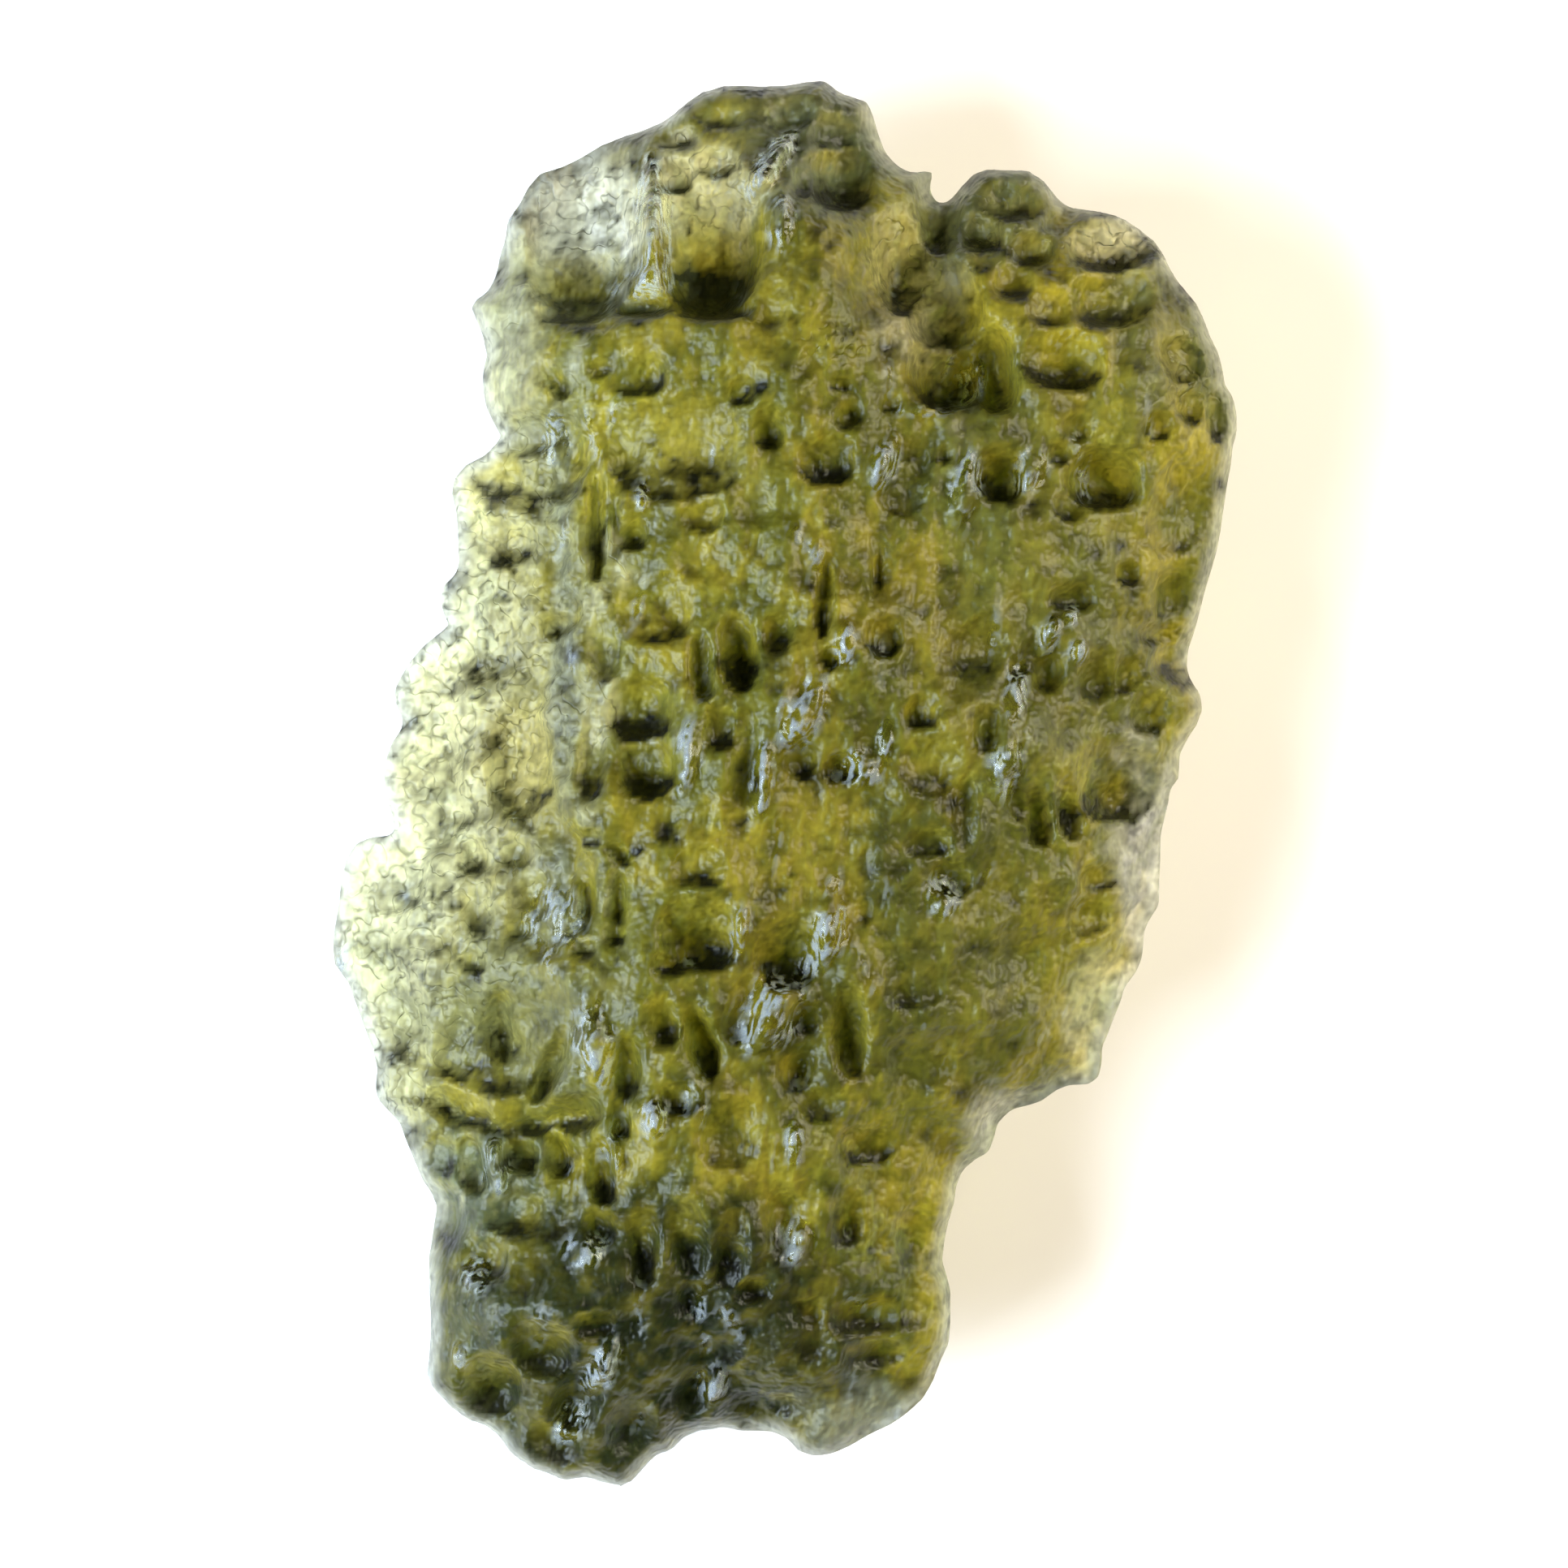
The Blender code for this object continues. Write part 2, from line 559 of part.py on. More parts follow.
def centre_on_base(stone):
    """Puts the frame's origin under the middle of the stone's box."""
    mesh = evaluated_mesh(stone)
    corners = np.array([vertex.co[:] for vertex in mesh.vertices])
    bpy.data.meshes.remove(mesh)
    middle = (corners.min(axis=0) + corners.max(axis=0)) / 2
    for vertex in stone.data.vertices:
        vertex.co.x -= middle[0]
        vertex.co.y -= middle[1]


def main():
    clear_scene()
    stone_collection = new_collection("moldavite")
    helpers = new_collection("cutters")
    helpers.hide_render = True
    stone = remeshed_slab(stone_collection, helpers)
    swell_and_scoop(stone)
    finish_solid(stone, helpers)
    centre_on_base(stone)
    stone.data.materials.clear()
    stone.data.materials.append(glass_material())


main()
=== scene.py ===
# Moldavite: one loose piece of natural green glass on a pale tabletop, seen from straight above.
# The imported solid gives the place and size. The shown stone is made here, finely pitted and see-through.

import math
import random

import bpy
import numpy as np
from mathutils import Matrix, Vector, kdtree, noise


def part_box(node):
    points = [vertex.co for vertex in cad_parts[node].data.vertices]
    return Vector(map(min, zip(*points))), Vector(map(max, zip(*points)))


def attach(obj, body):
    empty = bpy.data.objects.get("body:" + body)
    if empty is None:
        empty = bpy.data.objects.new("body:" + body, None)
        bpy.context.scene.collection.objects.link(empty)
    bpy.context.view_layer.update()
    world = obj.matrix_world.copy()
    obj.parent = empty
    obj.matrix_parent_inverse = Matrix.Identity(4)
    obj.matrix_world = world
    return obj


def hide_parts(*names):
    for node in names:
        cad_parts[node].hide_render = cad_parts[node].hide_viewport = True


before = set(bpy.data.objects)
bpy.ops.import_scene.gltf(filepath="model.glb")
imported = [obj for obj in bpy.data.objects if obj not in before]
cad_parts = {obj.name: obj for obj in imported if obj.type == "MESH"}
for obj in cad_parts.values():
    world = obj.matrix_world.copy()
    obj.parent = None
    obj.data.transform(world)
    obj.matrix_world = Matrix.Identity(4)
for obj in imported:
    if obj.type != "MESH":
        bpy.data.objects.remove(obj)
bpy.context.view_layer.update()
mm = 0.001


# small helpers


def linear(hexColour, alpha=1.0):
    # sRGB hex to Blender's linear values
    parts = [int(hexColour[i:i + 2], 16) / 255 for i in (1, 3, 5)]
    return tuple(c / 12.92 if c < 0.04045 else ((c + 0.055) / 1.055) ** 2.4 for c in parts) + (alpha,)


def addNode(tree, kind, settings=None, links=None):
    # settings: a property, or a socket's name or number; links: socket -> (node, its output)
    node = tree.nodes.new(kind)
    for key, value in (settings or {}).items():
        if isinstance(key, str) and hasattr(node, key):
            setattr(node, key, value)
        else:
            node.inputs[key].default_value = value
    for key, (source, output) in (links or {}).items():
        tree.links.new(source.outputs[output], node.inputs[key])
    return node


def newMaterial(name):
    material = bpy.data.materials.new(name)
    material.use_nodes = True
    material.node_tree.nodes.clear()
    return material, material.node_tree


def deselectAll():
    for thing in bpy.context.selected_objects:
        thing.select_set(False)


def applyModifier(piece, kind, **settings):
    deselectAll()
    piece.select_set(True)
    bpy.context.view_layer.objects.active = piece
    modifier = piece.modifiers.new(kind.lower(), kind)
    for key, value in settings.items():
        setattr(modifier, key, value)
    bpy.ops.object.modifier_apply(modifier=modifier.name)


def smoothStep(value):
    value = np.clip(value, 0, 1)
    return value * value * (3 - 2 * value)


# the stone's outline, in mm from the middle of the face, going round against the clock

outline = {
    "topLeft": (
        (1.0, 17.3), (0.5, 17.25), (0, 17.15), (-0.5, 17.1), (-1.5, 17.13), (-2.0, 17.0), (-2.3, 16.8),
        (-2.7, 16.45), (-3.0, 16.25), (-3.5, 16.05), (-4.0, 15.9), (-4.5, 15.7), (-5.0, 15.4), (-5.5, 15.15),
        (-6.0, 14.97), (-6.3, 14.6), (-6.5, 14.2), (-6.8, 13.8), (-6.85, 13.4), (-7.0, 13.0), (-7.1, 12.5),
        (-7.3, 12.1), (-7.6, 11.9), (-7.7, 11.7), (-7.55, 11.35), (-7.4, 11.0), (-7.3, 10.5), (-7.4, 10.1),
        (-7.4, 9.7), (-7.3, 9.2), (-7.1, 8.8), (-6.9, 8.45),
    ),
    "leftLobes": (
        (-7.3, 8.05), (-7.8, 7.8), (-8.1, 7.45), (-8.15, 7.1), (-8.05, 6.7), (-8.0, 6.2), (-7.95, 5.3),
        (-8.05, 5.05), (-8.3, 4.85), (-8.42, 4.5), (-8.35, 4.15), (-8.2, 3.85), (-8.5, 3.65), (-8.9, 3.35),
        (-9.2, 3.0), (-9.45, 2.6), (-9.6, 2.3), (-9.6, 2.0), (-9.4, 1.6), (-9.4, 1.35), (-9.65, 1.0),
        (-9.8, 0.6), (-9.85, 0.1), (-9.8, -0.3), (-9.65, -0.8), (-9.55, -1.2), (-9.7, -1.3), (-10.2, -1.35),
        (-10.55, -1.5), (-10.8, -1.9), (-10.95, -2.4), (-11.0, -3.0), (-11.1, -3.6), (-11.15, -4.1),
        (-11.1, -4.5), (-10.75, -4.95), (-10.55, -5.5), (-10.35, -6.0), (-10.1, -6.6), (-10.0, -7.0),
        (-10.05, -7.5), (-10.0, -7.8), (-9.7, -8.1), (-9.45, -8.35), (-9.3, -8.8), (-9.1, -9.3),
        (-8.9, -9.8), (-8.7, -10.1), (-8.57, -10.45),
    ),
    "bottomLobe": (
        (-8.65, -11.0), (-8.75, -11.7), (-8.7, -12.5), (-8.65, -13.2), (-8.7, -14.0), (-8.75, -14.5),
        (-8.6, -14.85), (-8.2, -15.3), (-7.8, -15.65), (-7.3, -15.85), (-7.0, -16.1), (-6.7, -16.5),
        (-6.2, -16.85), (-5.8, -17.0), (-5.4, -17.2), (-4.9, -17.15), (-4.4, -17.3), (-4.0, -17.35),
        (-3.7, -17.2), (-3.4, -16.85), (-3.1, -16.55), (-2.8, -16.5), (-2.5, -16.2), (-2.1, -16.0),
        (-1.5, -15.9), (-1.0, -16.0), (-0.3, -16.0), (0.1, -16.15), (0.35, -16.45), (0.7, -16.55),
        (1.15, -16.5), (1.6, -16.3), (2.1, -16.0), (2.6, -15.75), (3.0, -15.45), (3.4, -15.1), (3.65, -14.7),
        (3.85, -14.2), (4.05, -13.8), (4.1, -13.3), (4.1, -12.5), (4.0, -12.1), (3.9, -11.8), (3.95, -11.3),
        (4.05, -10.8), (4.2, -10.3), (4.25, -9.9), (4.4, -9.55), (4.7, -9.3), (5.05, -9.1),
    ),
    "rightEdge": (
        (5.2, -8.7), (5.25, -8.4), (5.6, -8.05), (5.9, -7.97), (6.3, -7.85), (6.7, -7.55), (7.0, -7.43),
        (7.5, -7.42), (7.75, -7.2), (7.8, -6.8), (7.8, -6.5), (7.95, -6.2), (8.1, -5.8), (8.25, -5.4),
        (8.35, -5.0), (8.65, -4.65), (8.8, -4.3), (8.85, -3.6), (9.0, -3.3), (9.2, -3.0), (9.2, -2.5),
        (9.25, -1.3), (9.35, -0.9), (9.45, -0.5), (9.5, -0.15), (9.7, 0.1), (9.75, 0.7), (9.95, 1.1),
        (10.15, 1.4), (10.3, 1.8), (10.25, 2.2), (10.05, 2.5), (9.95, 2.85), (10.0, 3.3), (10.15, 3.8),
        (10.3, 4.4), (10.4, 4.8), (10.55, 5.3), (10.7, 5.8), (10.8, 6.4), (10.9, 7.2), (11.0, 7.8),
        (11.05, 8.3), (11.15, 8.6), (11.15, 9.1), (11.05, 9.5), (10.85, 9.75), (10.75, 10.2), (10.65, 10.6),
        (10.5, 10.9), (10.35, 11.3), (10.15, 11.75), (9.95, 12.0), (9.7, 12.3), (9.5, 12.6), (9.35, 12.95),
        (9.15, 13.3), (8.8, 13.6), (8.4, 13.85), (8.0, 14.0), (7.5, 14.1), (7.0, 14.2),
    ),
    "topRight": (
        (6.7, 14.45), (6.4, 14.8), (6.0, 15.05), (5.5, 15.08), (5.0, 15.12), (4.7, 15.05), (4.4, 14.75),
        (4.1, 14.4), (3.9, 14.33), (3.7, 14.45), (3.62, 14.75), (3.68, 15.1), (3.5, 15.15), (3.3, 15.1),
        (3.0, 15.12), (2.7, 15.35), (2.5, 15.6), (2.35, 16.0), (2.2, 16.5), (2.05, 16.8), (1.7, 16.9),
        (1.4, 17.0),
    ),
}
rimPoints = [point for stretch in outline.values() for point in stretch]


# the stone's body: thickness, broad forms, and everything scooped out of it, in mm

stone = {
    "middleHeight": 3.9,   # the rim's height over the table
    "slabHalf": 0.3,
    "voxel": 0.118,        # spacing of the fine mesh
    "smoothing": 0.4,
    "rimStep": 0.05,       # spacing of the rim's points, for the distance from it
    "rimHalf": 0.95,
    "rimRound": 0.75,
    "rimEdge": 0.30,       # share of the half-thickness at the very edge
    "topSwell": 3.0,
    "topReach": 3.1,
    "bellySwell": 3.45,
    "bellyReach": 4.6,
    "least": 0.22,         # neither half gets thinner than this
    "waveFade": (1.5, 0.2),     # how far in the waves are in full, and their share at the rim
    "flutingFade": (1.0, 0.2),
    "pitFade": 1.6,        # pits are shallower within this of the rim
    "pitEdge": 0.35,
    "pitDepth": 1.25,      # share of the listed depths
    "smallPitDepth": 0.7,
    # how dark the lower ends of the small and fine pits are tinted: soil film and painted shade
    "smallPitDark": 0.9,
    "finePitDark": 1.1,
    "stepFade": 0.6,       # how soon a step starts and ends
    # lower or higher stretches of the face: x, y, half-width, half-length, height
    "swellings": (
        (-9.0, 0.5, 3.6, 8.5, -1.40),
        (-5.2, 14.4, 2.2, 2.0, -0.60),
        (-1.0, 1.0, 4.5, 9.5, 0.35),
        (7.6, -5.4, 2.8, 3.6, -1.10),
        (9.4, -2.4, 1.0, 2.0, -0.80),
        (2.4, -15.3, 2.3, 1.5, -0.75),
        (-5.2, -12.4, 3.2, 1.0, 0.55),
        (0.4, 15.9, 2.2, 1.5, -0.50),
        (0.8, 11.4, 1.3, 3.4, 0.65),
        (10.2, 8.0, 1.6, 3.0, -0.35),
    ),
    "lowerSwellings": (
        (-8.6, 1.5, 2.8, 8.0, -1.35),
        (9.2, -3.5, 1.6, 3.2, -1.00),
        (-3.0, -13.5, 5.0, 3.0, 0.60),
        (9.0, 6.0, 2.5, 7.0, 0.50),
    ),
    # uneven waves: height, spacing, which stretch of the noise, and how drawn out along the stone
    "rimWander": (0.80, 9.0, 63.0),
    "faceWaves": (0.28, 3.4, 4.0),
    "faceFluting": (0.05, 0.75, 9.0, 4.0),
    "bellyWaves": (0.30, 3.8, 21.0),
    "stepWinding": (0.70, 2.2, 77.0),
    "restRagged": (1.10, 4.0, 43.0),
    # the worn flat that the stone lies on: x, y, radius, then how far outwards the pits come back
    "restSpot": (-0.1, 0.4, 2.1),
    "restBlend": 1.4,
    "restSlope": 4.0,      # how far out the belly rises from the flat
    "restProud": 0.12,     # how far past the table the belly would reach if it weren't cut flat
    "floorGap": 0.03,      # keeps the flat off the table, where the two would show black
    # winding creases: the crackled walls of the pits, and the frosted flange
    "creases": (0.30, 0.75, 13.0),
    "creasedDepth": 0.7,   # how deep a pit has to be for them
    "creasedFrom": 0.2,
    "creaseWidth": 0.07,
    # how much darker the creases are tinted: painted shade
    "creaseShadeStrength": 0.5,
    "slopeShade": 0.55,     # painted shade on slopes that face up the stone
    "slopeGlow": 0.5,     # and painted light on those that face down it, by this share
    "slopeFrom": 0.1,
}

# the etched skin: its tints, its soil film with painted shade and glow, and where it is polished
skin = {
    "clear": "#92922E",
    "golden": "#D4C23C",
    "soilShadeColour": "#16160A",
    "rim": "#F8FAE8",
    # uneven patterns: spacing, which stretch of the noise, and how drawn out along the stone
    "broad": (1.6, 0, 1.6),
    "grain": (0.42, 7, 1.5),
    "wide": (3.2, 15, 1.3),
    "wear": (0.4, 91, 2.0),
    "noiseAbove": 31.0,    # the two faces use different stretches
    "noiseBelow": 57.0,
    "goldShare": 0.7,      # how much gold the broad pattern brings, from which level, how quickly
    "goldFrom": 0.4,
    "goldRise": 1.3,
    "wallGlowGold": 0.9,      # painted golden glow of upper pit walls and down-facing slopes, and how much of it the frost hides
    "frostedGold": 0.9,
    "grainMottle": 0.22,   # how strong the mottle is, and how much of it the frost hides
    "frostedGrain": 0.12,
    "wideMottle": 0.32,
    "rimGlow": 0.75,       # painted glow: the pale tint of the thin rim, and how far in it fades
    "rimFrom": 1.2,
    "rimFade": 0.4,
    "darkStrength": 1.3,   # how dark the soil film and painted shade get, and how the grain breaks them up
    "darkPower": 0.85,
    "darkBroken": (0.75, 0.5, 0.5, 1.2),
    "speckles": 0.38,      # specks of soil, and how much of them the frost hides
    "frostedSpecks": 0.32,
    "speckFrom": 0.22,
    "speckSpan": 0.4,
    "speckSpared": 0.5,    # fewer specks where the glass is golden
    "shineWidth": 1.6,     # the polish on a crest is wider, longer and stronger than the crest's own form
    "shineLength": 1.1,
    "shineStrength": 1.6,
    "wearFrom": 0.8,       # worn gaps in the polish
    "wearRise": 1.6,
    "patchEdge": 0.9,      # how ragged a patch is, between which limits, and how level inside
    "patchLimits": (0.3, 2),
    "patchLevel": 2.2,
    # broad patches of tint: x, y, half-width, half-length, colour, strength
    "patches": (
        (-3.0, -14.0, 6.4, 4.2, "#243218", 0.97),
        # painted shade: the dark bands under the two big pits, on their walls that face up the stone
        (-4.2, 11.50, 1.4, 0.50, "#3C483C", 0.85),
        (-1.8, 11.70, 0.9, 0.70, "#2C3022", 0.50),
        (3.3, 12.0, 1.2, 2.1, "#FFF6C0", 0.95),
        (6.2, 4.0, 3.0, 7.0, "#84883E", 0.60),
        (4.6, -4.5, 2.6, 4.0, "#767A32", 0.75),
        (-7.6, -9.6, 1.8, 1.6, "#5A6A5C", 0.70),
        (0.6, 15.6, 2.4, 1.9, "#6E7A62", 0.85),
        (5.2, 13.6, 1.8, 1.2, "#7A845E", 0.75),
        (3.9, 13.9, 1.0, 1.4, "#6A7458", 0.70),
        (10.0, 11.5, 1.5, 3.0, "#8E9470", 0.50),
        # pale over the flange: partly the frosted skin's own cream, partly a painted glow of light through
        # the thin flange
        (-8.6, 2.3, 3.3, 6.9, "#FFFABC", 1.00),
        (-9.8, -4.0, 2.2, 4.2, "#FBF9C2", 0.95),
        (-6.9, -5.8, 2.2, 2.2, "#989A62", 0.80),
        (-5.0, 14.1, 2.0, 1.8, "#FFFFE4", 1.00),
        (-1.9, 14.4, 1.4, 1.2, "#FFF3B4", 0.90),
        (-2.0, 12.8, 0.9, 0.6, "#E8CE4C", 0.80),
        (-6.6, 10.8, 0.9, 2.4, "#EEEFC4", 0.70),
        (2.8, 12.8, 0.7, 1.4, "#EADC78", 0.70),
        (8.1, 13.2, 1.2, 0.7, "#F2ECC0", 0.80),
        (-2.5, 7.9, 1.7, 1.2, "#E0D45E", 0.60),
        (-6.4, 0.6, 0.9, 1.6, "#F6E690", 0.85),
        # painted sheen: the blue-grey band along the step, where its left-facing wall reflects the key light
        (-5.35, 3.2, 0.35, 5.5, "#A4B0A4", 0.60),
        (2.4, -15.7, 2.0, 0.9, "#C6CCB2", 0.85),
        # painted glow: the pale patches at the right rim and the lower right corner, where light comes
        # through thin glass
        (9.1, -2.2, 1.1, 2.3, "#FFFFF2", 1.00),
        (8.0, -5.8, 1.3, 1.9, "#FFFAC4", 0.95),
        (5.2, -8.4, 0.9, 1.0, "#FFFFEC", 0.90),
    ),
    # frosted, crackled places: x, y, half-width, half-length, strength
    "frost": (
        (-8.2, 3.0, 2.9, 7.5, 1.0),
        (-5.0, 14.0, 1.6, 1.6, 1.0),
        (-1.8, 14.6, 1.3, 1.0, 0.7),
        (2.9, 12.8, 0.9, 1.2, 0.9),
        (8.0, 13.2, 1.4, 0.8, 1.0),
        (1.2, 10.5, 0.9, 0.5, 0.7),
        (-9.0, -5.0, 1.8, 2.5, 0.7),
        (9.8, 10.0, 0.8, 1.4, 0.6),
        (5.0, 13.6, 1.2, 1.2, 0.5),
    ),
}

# pits of the upper face: x, y, half-length, half-width, turn in degrees, depth, lean, soil and shade.
# The long way runs down the face, turned against the clock. Lean makes the lower end steep,
# and the last is how dark the lower end is tinted: a soil film there, and painted shade on the wall that
# faces up the stone.
upperPits = (
    # the two big pits at the top left, and what is above them
    (-4.85, 13.25, 2.15, 1.55, 3, 1.75, 0.80, 0.30),
    (-1.75, 13.15, 2.05, 1.30, -3, 2.00, 0.85, 0.75),
    (-4.95, 11.50, 0.45, 1.05, 6, 1.15, 0.10, 0.95),
    (-3.45, 11.50, 0.40, 0.90, -4, 1.10, 0.10, 0.95),
    (-1.70, 11.35, 0.35, 1.00, 0, 1.05, 0.10, 0.95),
    (-2.60, 14.75, 0.55, 0.50, 5, 0.75, 0.70, 0.60),
    (-1.60, 15.00, 0.45, 0.60, 0, 0.50, 0.50, 0.40),
    (-2.65, 15.75, 0.30, 0.50, 10, 0.40, 0.60, 0.50),
    (-1.60, 16.25, 0.35, 0.70, -12, 0.35, 0.40, 0.35),
    (-4.60, 15.20, 0.45, 0.90, 14, 0.35, 0.30, 0.20),
    (-6.45, 12.90, 0.80, 0.32, 6, 0.40, 0.30, 0.25),
    # the dark slope at the top, then the slanting pit that runs down from the notch
    (1.30, 14.75, 0.95, 0.85, 10, 0.95, 0.60, 0.85),
    (0.50, 14.60, 0.60, 0.30, -10, 0.45, 0.40, 0.60),
    (1.20, 15.90, 0.50, 0.60, 0, 0.40, 0.30, 0.50),
    (0.20, 16.30, 0.45, 0.65, 15, 0.35, 0.20, 0.40),
    (3.70, 13.80, 1.05, 0.50, 5, 1.05, 0.20, 0.55),
    (2.85, 12.65, 1.50, 0.80, 8, 1.15, 0.70, 0.45),
    (3.85, 11.50, 1.35, 1.00, 14, 1.45, 0.40, 0.30),
    (3.95, 9.95, 1.05, 1.00, 14, 2.00, 0.60, 0.80),
    (5.00, 10.00, 1.20, 0.60, 10, 1.35, 0.30, 0.10),
    # the upper right lobe
    (5.60, 14.20, 0.60, 0.90, 5, 0.50, 0.20, 0.40),
    (4.80, 13.40, 0.60, 0.55, 0, 0.50, 0.30, 0.45),
    (6.00, 12.95, 0.45, 0.55, 0, 0.45, 0.40, 0.45),
    (5.55, 12.10, 0.50, 0.50, 0, 0.40, 0.40, 0.35),
    (8.05, 13.15, 0.75, 1.20, 12, 0.95, 0.70, 0.65),
    (7.90, 11.75, 0.80, 1.10, 8, 0.85, 0.60, 0.50),
    (6.45, 11.45, 0.55, 0.60, 0, 0.45, 0.30, 0.35),
    (6.70, 10.15, 0.75, 1.02, -5, 0.95, 0.70, 0.85),
    (9.60, 10.30, 0.65, 0.55, 20, 0.55, 0.40, 0.30),
    (9.80, 9.15, 0.45, 0.40, 0, 0.40, 0.30, 0.25),
    (10.55, 8.90, 0.70, 0.28, 4, 0.60, 0.10, 0.55),
    (9.05, 8.65, 0.40, 0.38, 0, 0.40, 0.20, 0.55),
    # the right side
    (7.70, 7.35, 0.80, 0.98, 5, 1.10, 0.35, 0.70),
    (5.20, 7.40, 0.72, 0.62, 0, 1.00, 0.60, 0.95),
    (6.65, 7.95, 0.35, 0.32, 0, 0.50, 0.50, 0.80),
    (7.05, 8.55, 0.40, 0.40, 0, 0.35, 0.40, 0.45),
    (6.85, 6.65, 0.38, 0.38, 0, 0.50, 0.50, 0.75),
    (3.85, 7.85, 0.25, 0.22, 0, 0.30, 0.40, 0.60),
    (9.60, 6.60, 1.30, 0.80, -10, 0.45, 0.20, 0.20),
    (8.30, 5.05, 0.32, 0.30, 0, 0.35, 0.10, 0.50),
    (9.60, 4.90, 1.10, 0.55, -12, 0.35, 0.20, 0.15),
    (6.90, 4.50, 0.38, 0.60, 0, 0.50, 0.60, 0.80),
    (9.10, 3.65, 0.30, 0.60, 5, 0.35, 0.40, 0.55),
    (6.35, 2.65, 0.48, 0.38, 10, 0.50, 0.40, 0.50),
    (5.60, 2.75, 0.25, 0.20, 0, 0.35, 0.40, 0.70),
    (7.55, 2.60, 0.70, 0.48, 0, 0.55, 0.30, 0.55),
    (8.25, 2.60, 0.50, 0.35, 0, 0.45, 0.30, 0.30),
    (8.85, 1.75, 0.60, 0.55, 0, 0.50, 0.30, 0.40),
    (8.05, 0.05, 1.05, 1.12, 0, 1.05, 0.65, 0.65),
    (6.85, -0.50, 0.90, 0.35, 8, 0.60, 0.60, 0.75),
    (6.10, -0.75, 0.85, 0.35, 10, 0.70, 0.60, 0.80),
    (5.55, -0.30, 0.70, 0.30, 18, 0.45, 0.50, 0.45),
    (9.55, 0.30, 0.25, 0.22, 0, 0.25, 0.10, 0.30),
    (4.30, -0.60, 1.00, 0.30, 0, 0.35, 0.30, 0.30),
    (3.50, -1.40, 0.40, 0.60, 0, 0.40, 0.50, 0.55),
    (4.00, -2.25, 0.50, 0.55, 0, 0.50, 0.30, 0.50),
    (7.60, -2.30, 0.40, 0.55, 10, 0.40, 0.30, 0.45),
    (7.40, -3.20, 0.55, 0.60, 20, 0.40, 0.30, 0.25),
    (5.50, -4.60, 1.20, 0.90, 0, 0.28, 0.10, 0.10),
    # the middle, above
    (-3.50, 9.75, 0.55, 0.75, 0, 0.35, 0.50, 0.45),
    (-2.60, 8.05, 1.35, 1.75, 0, 0.60, 0.75, 0.50),
    (-4.40, 9.95, 0.25, 0.30, 0, 0.30, 0.30, 0.65),
    (-1.00, 9.30, 0.36, 0.36, 0, 0.35, 0.30, 0.50),
    (-0.35, 8.45, 0.55, 0.40, 0, 0.45, 0.50, 0.70),
    (1.35, 9.50, 0.22, 0.28, 0, 0.28, 0.40, 0.60),
    (1.50, 8.75, 0.36, 0.34, 0, 0.40, 0.40, 0.55),
    (1.05, 7.70, 0.65, 0.70, 0, 0.70, 0.60, 0.80),
    (2.55, 9.10, 0.30, 0.30, 0, 0.25, 0.40, 0.45),
    (2.90, 7.30, 1.00, 0.60, -12, 0.45, 0.40, 0.35),
    (-5.55, 9.70, 0.60, 0.25, 35, 0.35, 0.40, 0.65),
    (-4.47, 6.45, 1.65, 0.22, 0, 0.65, 0.60, 0.90),
    (-4.05, 6.55, 1.30, 0.16, 2, 0.35, 0.50, 0.40),
    (-3.62, 5.95, 0.42, 0.40, 0, 0.60, 0.50, 0.90),
    (-1.90, 6.45, 0.50, 0.55, -20, 0.35, 0.30, 0.35),
    (-3.10, 4.20, 0.90, 1.05, 0, 0.40, 0.50, 0.30),
    (-1.08, 3.15, 1.00, 0.50, 4, 0.85, 0.75, 0.95),
    (-1.95, 2.80, 0.90, 0.32, 6, 0.55, 0.40, 0.40),
    (-3.40, 1.75, 0.85, 0.80, 0, 0.60, 0.50, 0.80),
    (-3.25, 0.45, 0.88, 0.72, 0, 0.80, 0.60, 0.80),
    (-1.50, 1.35, 0.60, 0.45, 0, 0.45, 0.40, 0.60),
    (-0.90, 0.60, 1.20, 0.40, 0, 0.40, 0.20, 0.40),
    (-4.60, 0.60, 1.10, 0.35, 0, 0.35, 0.30, 0.50),
    (-4.30, 3.30, 0.90, 0.45, 5, 0.30, 0.30, 0.35),
    (0.98, 4.45, 1.05, 0.24, -3, 0.55, 0.55, 0.70),
    (1.10, 2.95, 0.30, 0.24, 0, 0.45, 0.30, 0.95),
    (-0.15, 3.55, 0.50, 0.38, 0, 0.40, 0.40, 0.60),
    (2.35, 3.45, 0.52, 0.46, 0, 0.60, 0.50, 0.90),
    (2.25, 5.00, 0.65, 0.13, -4, 0.28, 0.30, 0.20),
    (3.30, 1.70, 0.45, 0.45, 0, 0.50, 0.50, 0.85),
    (0.35, 0.60, 0.50, 0.45, 0, 0.35, 0.30, 0.40),
    (1.35, 0.35, 0.40, 0.45, 0, 0.50, 0.30, 0.80),
    (3.50, 0.40, 0.75, 0.75, 0, 0.40, 0.40, 0.35),
    (4.80, 1.30, 0.60, 0.40, 0, 0.35, 0.30, 0.40),
    (4.70, 3.20, 0.90, 0.60, -20, 0.30, 0.20, 0.25),
    # the middle, below
    (-4.60, -1.30, 0.26, 0.24, 0, 0.45, 0.30, 0.95),
    (-3.90, -1.68, 0.20, 0.38, -38, 0.40, 0.20, 0.90),
    (-4.72, -2.65, 1.05, 0.24, -2, 0.55, 0.30, 0.30),
    (-3.95, -2.70, 0.85, 0.22, 0, 0.40, 0.40, 0.40),
    (-4.75, -3.95, 0.25, 0.30, 0, 0.40, 0.30, 0.85),
    (-4.00, -3.60, 0.30, 0.25, 0, 0.35, 0.30, 0.85),
